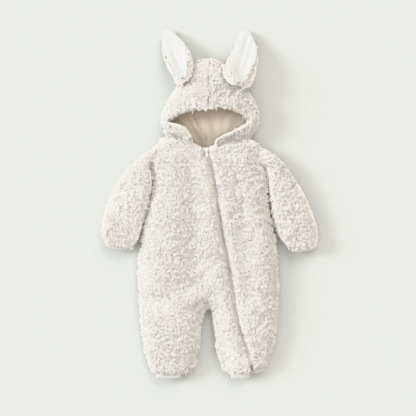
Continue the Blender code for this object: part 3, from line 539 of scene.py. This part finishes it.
def plastic_finish(settings):
    """Moulded plastic of the zip, faintly mottled."""
    finish = Finish("zip_plastic", Coat_Weight=0.2)
    mottle = finish.place.noise(size=2 * MM, detail=3.0)
    return finish.fed(
        Base_Color=mottle.shades(settings.plastic_colour, dark=0.97, light=1.03),
        Roughness=0.28 + 0.15 * mottle,
        Normal=mottle.bump(distance=0.05 * MM, strength=0.3))


def floor_finish(settings):
    """Plain pale surface."""
    finish = Finish("pale_floor")
    grain = finish.place.noise(size=1.5 * MM, detail=3.0)
    return finish.fed(
        Base_Color=grain.shades(settings.floor_colour, dark=0.995, light=1.005),
        Roughness=0.85 + 0.1 * grain)


def soft_noise(points, size, seed):
    """Smooth noise from -1 to 1 at points, with bumps of about a size."""
    values = np.random.default_rng(seed).uniform(-1, 1, NOISE_VALUES)
    grid = points / size
    cell = np.floor(grid).astype(np.int64)
    part = grid - cell
    part = part * part * (3 - 2 * part)
    total = np.zeros(len(points))
    for corner in range(8):
        step = np.array((corner & 1, corner >> 1 & 1, corner >> 2))
        across, along, upward = ((cell + step) * NOISE_PRIMES).T
        key = (across ^ along ^ upward) % NOISE_VALUES
        total += values[key] * np.prod(np.where(step, part, 1 - part), axis=1)
    return total


def layered_noise(points, layers):
    """Sum of soft noises, each with its strength, size and seed."""
    return sum(strength * soft_noise(points, size, seed) for strength, size, seed in layers)


def unit(vectors):
    """Vectors of length one."""
    return vectors / np.maximum(np.linalg.norm(vectors, axis=1, keepdims=True), 1e-12)


def read_rows(items, name, width, kind=float):
    """A property of all items of a mesh, with a row for each."""
    values = np.empty(len(items) * width, kind)
    items.foreach_get(name, values)
    return values.reshape(-1, width)


def read_vertices(mesh):
    """Places and normals of a mesh's vertices."""
    return read_rows(mesh.vertices, "co", 3), read_rows(mesh.vertex_normals, "vector", 3)


def write_vertices(mesh, places):
    """Move a mesh's vertices."""
    mesh.vertices.foreach_set("co", places.ravel())
    mesh.update()


def read_attribute(mesh, name):
    """A number kept at each vertex."""
    return read_rows(mesh.attributes[name].data, "value", 1)[:, 0]


def write_attribute(mesh, name, values):
    """Keep a number at each vertex."""
    layer = mesh.attributes.get(name) or mesh.attributes.new(name, "FLOAT", "POINT")
    layer.data.foreach_set("value", values.astype(np.float32))


def deselect_all():
    """Deselect everything."""
    for other in bpy.context.view_layer.objects:
        other.select_set(False)


def selected_only(piece):
    """Deselect everything but one piece, and make it active."""
    deselect_all()
    piece.select_set(True)
    bpy.context.view_layer.objects.active = piece


def apply_modifiers(piece):
    """Apply a piece's modifiers in order."""
    selected_only(piece)
    for modifier in list(piece.modifiers):
        bpy.ops.object.modifier_apply(modifier=modifier.name)


def new_piece(name, data):
    """A new object in the scene, with a mesh, a light or a lens."""
    piece = bpy.data.objects.new(name, data)
    bpy.context.scene.collection.objects.link(piece)
    return piece


def solid_copy(node, name, crease_angle=math.radians(62), crease_strength=0.7):
    """A merged copy of a CAD node as a new piece, in quads where two triangles make one."""
    mesh = frame["nodes"][node].data.copy()
    mesh.name = name
    mesh.materials.clear()
    builder = bmesh.new()
    builder.from_mesh(mesh)
    bmesh.ops.remove_doubles(builder, verts=builder.verts, dist=0.01 * MM)
    bmesh.ops.join_triangles(
        builder, faces=builder.faces, angle_face_threshold=math.radians(35),
        angle_shape_threshold=math.radians(120))
    crease = builder.edges.layers.float.new("crease_edge")
    for edge in builder.edges:
        if edge.is_manifold and edge.calc_face_angle() > crease_angle:
            edge[crease] = crease_strength
    builder.to_mesh(mesh)
    builder.free()
    return new_piece(name, mesh)


def subdivided(piece, levels):
    """Round a piece off with a subdivision surface."""
    rounding = piece.modifiers.new("rounding", "SUBSURF")
    rounding.levels = levels
    rounding.render_levels = levels
    apply_modifiers(piece)
    selected_only(piece)
    bpy.ops.object.shade_smooth()


def bevelled(piece, width, segments):
    """Bevel the sharp edges of a piece."""
    edges = piece.modifiers.new("edges", "BEVEL")
    edges.width = width
    edges.segments = segments
    edges.limit_method = "ANGLE"
    edges.angle_limit = SHARP_ANGLE
    apply_modifiers(piece)


def smooth_but_sharp(piece, angle=SHARP_ANGLE):
    """Shade a piece smooth, apart from its sharp edges."""
    selected_only(piece)
    bpy.ops.object.shade_smooth_by_angle(angle=angle)


def finish_piece(piece, material, node):
    """Give a piece its finish and its body, and let it replace its CAD node, if any."""
    piece.data.materials.append(material)
    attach(piece, PULL_TAB if node == "zip_pull" else GARMENT)
    if node:
        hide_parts(node)


def joined_tree(meshes):
    """Search tree over several meshes."""
    points = []
    faces = []
    for mesh in meshes:
        first = len(points)
        points += [vertex.co for vertex in mesh.vertices]
        faces += [[first + index for index in polygon.vertices] for polygon in mesh.polygons]
    return BVHTree.FromPolygons(points, faces)


def is_front(node):
    """Whether a node is one of the two panels beside the zip."""
    return node.startswith("front")


def is_ear(node):
    """Whether a node is a side of an ear."""
    return node.startswith("ear")


def zip_path(pitch):
    """Places along the middle of the chain, a pitch apart, from the neck down."""
    points = read_vertices(frame["nodes"]["zip_chain"].data)[0]
    levels = np.unique(np.round(points[:, 1], 5))[::-1]
    rows = [points[np.abs(points[:, 1] - level) < 0.02 * MM] for level in levels]
    line = np.array([
        (row[:, 0].mean(), row[:, 1].mean(), row[:, 2].max()) for row in rows if len(row) > 1])
    lengths = np.concatenate(([0], np.cumsum(np.linalg.norm(np.diff(line, axis=0), axis=1))))
    stations = np.arange(pitch / 2, lengths[-1], pitch)
    return np.stack([np.interp(stations, lengths, line[:, axis]) for axis in range(3)], axis=1)


def zip_offset(places):
    """Signed distance across the zip of places on the front, and far away above the neck."""
    line = zip_path(ZIP_STEP)[::-1]
    across = places[:, 0] - np.interp(places[:, 1], line[:, 1], line[:, 0])
    far_away = 1.0
    return np.where(places[:, 1] < line[-1, 1] + ZIP_OVERRUN, across, far_away)


def zip_way(places):
    """Direction of the zip, from the neck down, beside places on the front."""
    line = zip_path(ZIP_STEP)
    way = unit(np.gradient(line, axis=0))[::-1]
    return np.stack(
        [np.interp(places[:, 1], line[::-1, 1], way[:, axis]) for axis in range(3)], axis=1)


def is_covered(place, normal, tree):
    """Whether something lies just over the cloth at a place."""
    way = normal
    if abs(normal.z) > FACES_UP_OR_DOWN:
        way = Vector((0, 0, math.copysign(1, normal.z)))
    return tree.ray_cast(place + way * SKIN, way, COVER_REACH)[0] is not None


def raised(places, level):
    """Places, brought up to a level where they are lower."""
    return np.maximum(places, (-np.inf, -np.inf, level))


def stand_back(piece, tree, pile):
    """Draw the cloth in under its pile, and keep at each vertex whether it carries pile.

    It only moves up or down where it is covered, or close to something beside it. What is covered
    and doesn't face up stays where it is, and so does what is covered of an ear.
    """
    places, normals = read_vertices(piece.data)
    zip_side = np.abs(zip_offset(places)) < ZIP_STRIP
    furry = np.zeros(len(places))
    for index in range(len(places)):
        place = Vector(places[index])
        normal = Vector(normals[index])
        covered = is_covered(place, normal, tree)
        furry[index] = not covered
        if covered and (normal.z < TOP_OF_SEAM or is_ear(piece.name)):
            continue
        wall = tree.ray_cast(place - normal * SKIN, -normal, THICKEST_WALL)
        thickness = UNKNOWN_WALL if wall[0] is None else wall[3] + SKIN
        sink = min(pile + LOCK_ROOM, WALL_SHARE * thickness)
        level = Vector((normal.x, normal.y, 0))
        sideways = level.length > FACES_SIDEWAYS
        beside = sideways and tree.ray_cast(place + level * SKIN, level, BESIDE_REACH)[0]
        if covered or beside or zip_side[index]:
            normal = Vector((0, 0, normal.z))
        places[index] -= sink * np.array(normal)
    write_vertices(piece.data, raised(places, LOWEST))
    write_attribute(piece.data, "furry", furry)


def furred_edges(piece, rings=2):
    """Let the pile reach a little way under other pieces, so that no edge is bare."""
    mesh = piece.data
    furry = read_attribute(mesh, "furry")
    first, second = read_rows(mesh.edges, "vertices", 2, np.int64).T
    for _ in range(rings):
        spread = furry.copy()
        np.maximum.at(spread, first, furry[second])
        np.maximum.at(spread, second, furry[first])
        furry = spread
    write_attribute(mesh, "furry", furry)


def lumpy(piece):
    """Raise soft lumps in the cloth under the pile."""
    places, normals = read_vertices(piece.data)
    furry = np.clip(read_attribute(piece.data, "furry"), 0, 1)
    lumps = layered_noise(places, LUMP_LAYERS) + LUMP_LEVEL
    places = places + normals * (furry * lumps * MM)[:, None]
    write_vertices(piece.data, raised(places, LOWEST))


def scatter(mesh, spacing, underside, generator):
    """Places about a spacing apart on the furry part of a mesh, and the normals there."""
    places, normals = read_vertices(mesh)
    furry = read_attribute(mesh, "furry")
    mesh.calc_loop_triangles()
    corners = read_rows(mesh.loop_triangles, "vertices", 3, np.int64)
    first, second, third = (places[corners[:, index]] for index in range(3))
    cross = np.cross(second - first, third - first)
    area = np.linalg.norm(cross, axis=1) / 2
    down = unit(cross)[:, 2] < UNDERSIDE
    furry_face = furry[corners].min(axis=1) > 0.3
    chance = area * (furry_face & (down == underside))
    if chance.sum() <= 0:
        return np.empty((0, 3)), np.empty((0, 3))
    # A surplus is thrown, and the first that lands in each cell of a grid is kept.
    throws = int(chance.sum() / spacing ** 2 * THROWS)
    picked = generator.choice(len(corners), throws, p=chance / chance.sum())
    one = np.sqrt(generator.random(throws))[:, None]
    two = generator.random(throws)[:, None]
    shares = (1 - one, one * (1 - two), one * two)
    roots = sum(share * places[corners[picked, index]] for index, share in enumerate(shares))
    facing = sum(share * normals[corners[picked, index]] for index, share in enumerate(shares))
    cell_shift = 0.37
    cells = np.floor(roots / spacing + cell_shift).astype(np.int64)
    kept = np.unique(cells, axis=0, return_index=True)[1]
    return roots[kept], unit(facing[kept])


def leaned(ways, roots, neighbours):
    """Ways of locks, turned to the next panel where that is near, and how far each is turned."""
    turned = ways.copy()
    shares = np.zeros(len(roots))
    for index, root in enumerate(roots):
        near, _, _, away = neighbours.find_nearest(Vector(root), 2 * LEAN_REACH)
        if near is not None:
            share = LEAN_MOST * math.exp(-(away / LEAN_REACH) ** 2)
            over = np.array(near) - root
            turned[index] = (1 - share) * ways[index] + share * over / max(away, 0.1 * MM)
            shares[index] = share
    return turned, shares


def along_surface(ways, normals):
    """Ways without their part across the surface."""
    return ways - normals * np.sum(ways * normals, axis=1, keepdims=True)


def pile_lie(lie, roots, normals, neighbours):
    """Way that the pile lies at each root, and how far the lock leans over a seam there."""
    brushed = np.tile(LIES[lie], (len(roots), 1))
    if lie == "hood":
        brushed[:, 0] = np.clip(roots[:, 0] / HOOD_PARTING, -HOOD_MOST, HOOD_MOST)
    beside_zip = np.zeros((len(roots), 1))
    if lie == "down":
        beside_zip = np.exp(-(zip_offset(roots)[:, None] / ZIP_STRIP) ** 2)
        brushed = brushed + ZIP_COMB * zip_way(roots) * beside_zip
    if lie in EAR_MIDDLES:
        base, tip = EAR_MIDDLES[lie]
        middle = np.interp(roots[:, 1], (base[1], tip[1]), (base[0], tip[0]))
        across = (roots[:, 0] - middle) / EAR_HALF_WIDTH
        on_top = (normals[:, 2] > 0.1) & (roots[:, 1] < EAR_BARE_FROM)
        brushed[:, 0] += np.where(on_top, EAR_TOP_TURN, EAR_EDGE_TURN) * across
    down = along_surface(np.tile((0.0, 0.0, -1.0), (len(roots), 1)), normals)
    flat = unit(along_surface(brushed, normals) + HANG * down)
    swirl = layered_noise(roots, SWIRL_LAYERS)[:, None] * (1 - beside_zip)
    swirled = np.cos(swirl) * flat + np.sin(swirl) * np.cross(normals, flat)
    turned, bridging = leaned(swirled, roots, neighbours)
    return unit(along_surface(turned, normals)), bridging


def gathered(roots, spacing, generator):
    """Index of the clump leader of each root."""
    cells = np.floor(roots / spacing + 0.5).astype(np.int64)
    leaders = np.unique(cells, axis=0, return_index=True)[1]
    tree = KDTree(len(leaders))
    for place, leader in enumerate(leaders):
        tree.insert(roots[leader] + generator.normal(0, 0.15 * spacing, 3), place)
    tree.balance()
    return np.array([leaders[tree.find(root)[1]] for root in roots])


def along_cloth(places, rises, ground, shares):
    """Places brought over the cloth under them, as far as their shares say."""
    moved = places.copy()
    for index, place in enumerate(places):
        near, normal, _, _ = ground.find_nearest(Vector(place))
        over = np.array(near) + np.array(normal) * rises[index]
        moved[index] += (over - place) * shares[index]
    return moved


def lock_rings(roots, normals, lie, settings, generator, sizes, tufty, bridging, ground):
    """Centres of each lock's rings and its tip: one array of places for each station."""
    column = (len(roots), 1)
    size = (sizes * (1 + TUFT_GROWTH * tufty))[:, None]
    side = np.cross(normals, lie)
    length = size * settings.lock_length * generator.uniform(*LENGTH_SHARES, column)
    leader = gathered(roots, settings.clump_spacing, generator)
    clump = generator.uniform(*CLUMP_SHARES, column)[leader]
    height = np.sqrt(size) * settings.pile_height * clump
    height = height * generator.uniform(*HEIGHT_SHARES, column)
    curl = size * CURL * generator.normal(0, 1, column)
    phase = generator.uniform(0, math.tau, column)
    end = roots + normals * height + lie * length
    pull = (CLUMP_PULL + TUFT_PULL * tufty)[:, None] * (end[leader] - end)
    loose = TUFT_LOOSENESS * np.maximum(tufty, bridging)
    closeness = generator.uniform(*CLOSENESS_SHARES, len(roots)) * (1 - loose)
    centres = []
    for station in LOCK_STATIONS:
        rise = (height + ROOT_DEPTH) * math.sin(ARCH * station) - ROOT_DEPTH
        bend = curl * (np.sin(phase + CURL_TURN * station) - np.sin(phase))
        place = roots + normals * rise + lie * length * station ** RUN_POWER + side * bend
        place = place + pull * station ** 2
        if station > 0:
            place = along_cloth(place, rise, ground, closeness)
        centres.append(raised(place, LOWEST))
    return centres


def lock_faces():
    """Faces of one lock: its closed root, its sides and its tip."""
    faces = [tuple(reversed(range(LOCK_SIDES)))]
    last = (len(LOCK_GIRTHS) - 1) * LOCK_SIDES
    for low in range(0, last, LOCK_SIDES):
        high = low + LOCK_SIDES
        for corner in range(LOCK_SIDES):
            after = (corner + 1) % LOCK_SIDES
            faces.append((low + corner, low + after, high + after, high + corner))
    for corner in range(LOCK_SIDES):
        faces.append((last + corner, last + (corner + 1) % LOCK_SIDES, last + LOCK_SIDES))
    return faces


def lock_mesh(name, centres, normals, width, generator):
    """One mesh of many tapered locks, each with closed ends."""
    count = len(normals)
    points = []
    for index, girth in enumerate(LOCK_GIRTHS):
        along = unit(centres[index + 1] - centres[index])
        across = unit(np.cross(along, normals))
        upward = np.cross(across, along)
        for corner in range(LOCK_SIDES):
            angle = math.tau * (corner / LOCK_SIDES + 0.25)
            spread = across * math.cos(angle) + LOCK_FLATNESS * upward * math.sin(angle)
            points.append(raised(centres[index] + spread * width * girth, LOWEST_LOCK))
    points.append(centres[-1])
    heights = [*np.repeat(LOCK_STATIONS[:-1], LOCK_SIDES), LOCK_STATIONS[-1]]
    each = len(points)
    stacked = np.stack(points, axis=1).reshape(-1, 3)
    faces = lock_faces()
    loops = np.array([index for face in faces for index in face])
    sizes = np.array([len(face) for face in faces])
    starts = np.cumsum(sizes) - sizes
    offsets = np.arange(count)[:, None]
    mesh = bpy.data.meshes.new(name)
    mesh.vertices.add(len(stacked))
    mesh.vertices.foreach_set("co", stacked.ravel())
    mesh.loops.add(count * len(loops))
    mesh.loops.foreach_set("vertex_index", (loops + offsets * each).ravel())
    mesh.polygons.add(count * len(faces))
    mesh.polygons.foreach_set("loop_start", (starts + offsets * len(loops)).ravel())
    mesh.update(calc_edges=True)
    mesh.shade_smooth()
    tones = np.clip(generator.normal(0.5, 0.3, count), 0, 1)
    write_attribute(mesh, "pile_height", np.tile(heights, count))
    write_attribute(mesh, "pile_tone", np.repeat(tones, each))
    return mesh


def rim_share(roots):
    """Strength of the tufts at roots: highest on a rim, and 0 farther off than the rim's reach."""
    shares = np.zeros(len(roots))
    for strength, across, levels in RIM_LINES:
        away = roots[:, 1] - np.interp(roots[:, 0] / MM, across, levels) * MM
        beside = (roots[:, 0] > across[0] * MM) & (roots[:, 0] < across[-1] * MM)
        near = strength * np.clip(1 - np.abs(away) / RIM_REACH, 0, 1)
        shares = np.maximum(shares, near * beside * (roots[:, 2] > RIM_LEVEL))
    return shares


def grow_pile(cloth, node, lie, neighbours, ground, settings, material):
    """Plant locks on the furry part of a cloth, and give back their pieces."""
    generator = np.random.default_rng(settings.seed + sum(map(ord, node)))
    grown = []
    batches = []
    for underside, spacing in ((False, settings.lock_spacing), (True, settings.under_spacing)):
        roots, normals = scatter(cloth.data, spacing, underside, generator)
        if is_front(node):
            clear = np.abs(zip_offset(roots)) > GROOVE_HALF_WIDTH
            roots, normals = roots[clear], normals[clear]
        if len(roots):
            width = settings.lock_width * (UNDER_WIDTH if underside else 1.0)
            batches.append((roots, normals, width))
    for roots, normals, width in batches:
        sizes = np.full(len(roots), EAR_LOCK_SIZE if is_ear(node) else 1.0)
        if is_front(node):
            sizes -= SMALLER_BY * np.exp(-(zip_offset(roots) / SMALLER_WITHIN) ** 2)
        combed, bridging = pile_lie(lie, roots, normals, neighbours)
        tufty = rim_share(roots) * (lie == "hood")
        centres = lock_rings(
            roots, normals, combed, settings, generator, sizes, tufty, bridging, ground)
        order = np.argsort(-roots[:, 1])
        for part in np.array_split(order, math.ceil(len(order) / LARGEST_PILE)):
            name = f"{node}_pile_{len(grown) + 1}"
            mesh = lock_mesh(
                name, [centre[part] for centre in centres], normals[part], width, generator)
            piece = new_piece(name, mesh)
            finish_piece(piece, material, None)
            grown.append(piece)
    return grown


def drawn_cloth(node, solids, pile_height):
    """The cloth of a plush panel, drawn in under its pile, rounded off and lumpy."""
    cloth = solid_copy(node, f"{node}_cloth")
    stand_back(cloth, solids, pile_height)
    subdivided(cloth, 1 if node == "back_panel" else 2)
    if is_ear(node):
        folded(cloth, EAR_FOLD_ROWS)
    lumpy(cloth)
    furred_edges(cloth)
    return cloth


class ROMPER_OT_plush(Operator):
    """Make the plush panels, sleeves, hood and ears, with their pile"""

    bl_idname = "romper.plush"
    bl_label = "Plush"

    def execute(self, context):
        settings = context.scene.romper_plush
        ground = plush_cloth_finish(settings)
        locks = plush_lock_finish(settings)
        bodies = {name: node.data for name, node in frame["nodes"].items()}
        all_solids = joined_tree(bodies.values())
        no_ears = joined_tree([body for name, body in bodies.items() if not is_ear(name)])
        plush_nodes = [row[0] for row in PANEL_ROWS]
        cloths = {}
        for node in plush_nodes:
            solids = all_solids if is_ear(node) else no_ears
            cloths[node] = drawn_cloth(node, solids, settings.pile_height)
            finish_piece(cloths[node], ground, node)
        cuffs = [body for name, body in bodies.items() if "cuff" in name]
        body_cloths = [cloth.data for node, cloth in cloths.items() if not is_ear(node)]
        body_ground = joined_tree(body_cloths + cuffs)
        for row in PANEL_ROWS:
            panel = dict(zip(PANEL_COLUMNS, row))
            node = panel["node"]
            cloth = cloths[node]
            beside = [
                bodies[other] for other in plush_nodes
                if other != node and not (is_front(node) and is_front(other))]
            neighbours = joined_tree(beside + cuffs)
            own_ground = body_ground
            if is_ear(node):
                own_ground = joined_tree([cloth.data, bodies[node.replace("outer", "inner")]])
            pile = grow_pile(cloth, node, panel["lie"], neighbours, own_ground, settings, locks)
        return {"FINISHED"}


def refined(piece, longest, passes):
    """Halve the edges of a piece that are longer than a length, in a few passes."""
    builder = bmesh.new()
    builder.from_mesh(piece.data)
    bmesh.ops.triangulate(builder, faces=builder.faces)
    for _ in range(passes):
        long_edges = [edge for edge in builder.edges if edge.calc_length() > longest]
        bmesh.ops.subdivide_edges(builder, edges=long_edges, cuts=1)
        cut_faces = [face for face in builder.faces if len(face.verts) > 3]
        bmesh.ops.triangulate(builder, faces=cut_faces)
    builder.to_mesh(piece.data)
    builder.free()


def folded(piece, rows, upright_from=0.3):
    """Lay folds in a smooth cloth, where its normal points up more than so far."""
    places, normals = read_vertices(piece.data)
    rise = np.zeros(len(places))
    plan = places[:, :2] / MM
    for row in rows:
        fold = dict(zip(FOLD_COLUMNS, row))
        start = np.array((fold["from_x"], fold["from_y"]))
        run = np.array((fold["to_x"], fold["to_y"])) - start
        share = np.clip((plan - start) @ run / (run @ run), 0, 1)
        away = np.linalg.norm(plan - start - share[:, None] * run, axis=1) / fold["width"]
        rise += fold["height"] * MM * np.exp(-away * away) * (0.5 + 0.5 * np.sin(math.pi * share))
    places[:, 2] += rise * (normals[:, 2] > upright_from)
    write_vertices(piece.data, places)


def closed_seam(piece):
    """Bring the edge of a lining half to the centre seam, so that no gap shows."""
    places = read_vertices(piece.data)[0]
    seam = np.interp(places[:, 1], *SEAM_LINE)
    at_seam = np.abs(places[:, 0] - seam) < SEAM_REACH
    places[at_seam, 0] = seam[at_seam]
    write_vertices(piece.data, places)


class ROMPER_OT_lining(Operator):
    """Make the hood's lining, with its soft folds"""

    bl_idname = "romper.lining"
    bl_label = "Lining"

    def execute(self, context):
        material = lining_finish(context.scene.romper_trim)
        for side in ("right", "left"):
            node = f"hood_lining_{side}"
            piece = solid_copy(node, f"{node}_cloth")
            closed_seam(piece)
            refined(piece, longest=5 * MM, passes=4)
            folded(piece, LINING_FOLD_ROWS)
            smooth_but_sharp(piece, math.radians(50))
            finish_piece(piece, material, node)
        return {"FINISHED"}


class ROMPER_OT_ear_satin(Operator):
    """Make the bright inner side of the ears"""

    bl_idname = "romper.ear_satin"
    bl_label = "Ear satin"

    def execute(self, context):
        material = satin_finish(context.scene.romper_trim)
        for side in ("right", "left"):
            node = f"ear_{side}_inner"
            piece = solid_copy(node, f"ear_{side}_satin")
            subdivided(piece, 2)
            folded(piece, EAR_FOLD_ROWS, upright_from=-1.0)
            finish_piece(piece, material, node)
        return {"FINISHED"}


class ROMPER_OT_cuffs(Operator):
    """Make the narrow knit cuffs"""

    bl_idname = "romper.cuffs"
    bl_label = "Cuffs"

    def execute(self, context):
        material = knit_finish(context.scene.romper_trim)
        for node, around, deep in CUFF_ROWS:
            piece = solid_copy(node, f"{node}_knit")
            subdivided(piece, 2)
            finish_piece(piece, material, node)
        return {"FINISHED"}


def tooth_pattern():
    """One moulded tooth of the zip, rounded, pointing along +X."""
    deselect_all()
    bpy.ops.mesh.primitive_cube_add(size=1, location=TOOTH_MIDDLE)
    tooth = bpy.context.object
    tooth.scale = TOOTH_SIZE
    bpy.ops.object.transform_apply(location=True, rotation=False, scale=True)
    bevelled(tooth, width=0.3 * MM, segments=1)
    mesh = tooth.data
    bpy.data.objects.remove(tooth)
    return mesh


def copied_along(name, pattern, places, turns):
    """One mesh of many copies of a pattern, each turned about Z and put in place."""
    points = read_vertices(pattern)[0]
    faces = [tuple(polygon.vertices) for polygon in pattern.polygons]
    all_points = []
    all_faces = []
    for index, (place, turn) in enumerate(zip(places, turns)):
        spin = np.array((
            (math.cos(turn), -math.sin(turn), 0), (math.sin(turn), math.cos(turn), 0), (0, 0, 1)))
        all_points.append(points @ spin.T + place)
        all_faces += [tuple(vertex + index * len(points) for vertex in face) for face in faces]
    mesh = bpy.data.meshes.new(name)
    mesh.from_pydata(np.concatenate(all_points).tolist(), [], all_faces)
    mesh.update()
    piece = new_piece(name, mesh)
    smooth_but_sharp(piece)
    return piece


class ROMPER_OT_zip(Operator):
    """Make the zip: tapes, teeth, slider and pull tab"""

    bl_idname = "romper.zip"
    bl_label = "Zip"

    def execute(self, context):
        settings = context.scene.romper_trim
        weave = tape_finish(settings)
        plastic = plastic_finish(settings)
        for side in ("right", "left"):
            node = f"zip_tape_{side}"
            tape = solid_copy(node, f"{node}_weave")
            subdivided(tape, 1)
            finish_piece(tape, weave, node)
        line = zip_path(settings.tooth_pitch / 2)
        way = np.gradient(line, axis=0)
        across = np.arctan2(way[:, 1], way[:, 0]) + math.pi / 2
        either_side = np.where(np.arange(len(line)) % 2, math.pi, 0.0)
        teeth = copied_along("zip_teeth", tooth_pattern(), line, across + either_side)
        finish_piece(teeth, plastic, "zip_chain")
        for node, width in FITTING_BEVELS:
            piece = solid_copy(node, f"{node}_moulded")
            bevelled(piece, width, segments=3)
            smooth_but_sharp(piece)
            finish_piece(piece, plastic, node)
        return {"FINISHED"}


def soft_sun(name, strength, width, tint, way):
    """A wide sun that shines one way over the whole garment."""
    sun = bpy.data.lights.new(name, "SUN")
    sun.energy = strength
    sun.angle = math.radians(width)
    sun.color = tint
    lamp = new_piece(name, sun)
    lamp.location = -Vector(way)
    lamp.rotation_euler = Vector(way).to_track_quat("-Z", "Y").to_euler()


class ROMPER_OT_stage(Operator):
    """Make the floor, the light and the camera"""

    bl_idname = "romper.stage"
    bl_label = "Stage"

    def execute(self, context):
        settings = context.scene.romper_stage
        deselect_all()
        bpy.ops.mesh.primitive_plane_add(size=8)
        floor = context.object
        floor.name = "floor"
        floor.data.materials.append(floor_finish(settings))

        soft_sun("window_light", settings.sun_strength, *WINDOW_LIGHT)
        soft_sun("fill_light", settings.fill_strength, *FILL_LIGHT)

        world = bpy.data.worlds.new("soft_room")
        world.use_nodes = True
        sky = world.node_tree.nodes["Background"]
        sky.inputs["Color"].default_value = SKY_COLOUR
        sky.inputs["Strength"].default_value = settings.sky_strength
        context.scene.world = world
        context.scene.view_settings.view_transform = "Khronos PBR Neutral"

        lens = bpy.data.cameras.new("camera")
        reach = settings.camera_height - FRAMED_LEVEL
        lens.lens = lens.sensor_width * reach / settings.frame_width
        camera = new_piece("camera", lens)
        camera.location = (*CAMERA_PLACE, settings.camera_height)
        context.scene.camera = camera
        return {"FINISHED"}


class ROMPER_PT_panel(Panel):
    """The romper's pieces and settings"""

    bl_idname = "ROMPER_PT_panel"
    bl_label = "Romper"
    bl_space_type = "VIEW_3D"
    bl_region_type = "UI"
    bl_category = "Romper"

    def draw(self, context):
        layout = self.layout
        for operator in OPERATORS:
            layout.operator(operator.bl_idname)
        for group in SETTINGS:
            settings = getattr(context.scene, group)
            box = layout.box()
            for name in settings.bl_rna.properties.keys():
                if name not in ("rna_type", "name"):
                    box.prop(settings, name)


SETTINGS = {
    "romper_plush": PlushSettings,
    "romper_trim": TrimSettings,
    "romper_stage": StageSettings,
}
OPERATORS = (
    ROMPER_OT_plush, ROMPER_OT_lining, ROMPER_OT_ear_satin, ROMPER_OT_cuffs, ROMPER_OT_zip,
    ROMPER_OT_stage,
)
CLASSES = (*SETTINGS.values(), *OPERATORS, ROMPER_PT_panel)


def register():
    """Register the classes and the settings."""
    for kind in CLASSES:
        bpy.utils.register_class(kind)
    for group, kind in SETTINGS.items():
        setattr(bpy.types.Scene, group, PointerProperty(type=kind))


def unregister():
    """Take the settings and the classes away again."""
    for group in SETTINGS:
        delattr(bpy.types.Scene, group)
    for kind in reversed(CLASSES):
        bpy.utils.unregister_class(kind)


def main():
    """Make every piece and the stage."""
    register()
    bpy.ops.romper.lining()
    bpy.ops.romper.ear_satin()
    bpy.ops.romper.plush()
    bpy.ops.romper.cuffs()
    bpy.ops.romper.zip()
    bpy.ops.romper.stage()


if __name__ == "__main__":
    main()
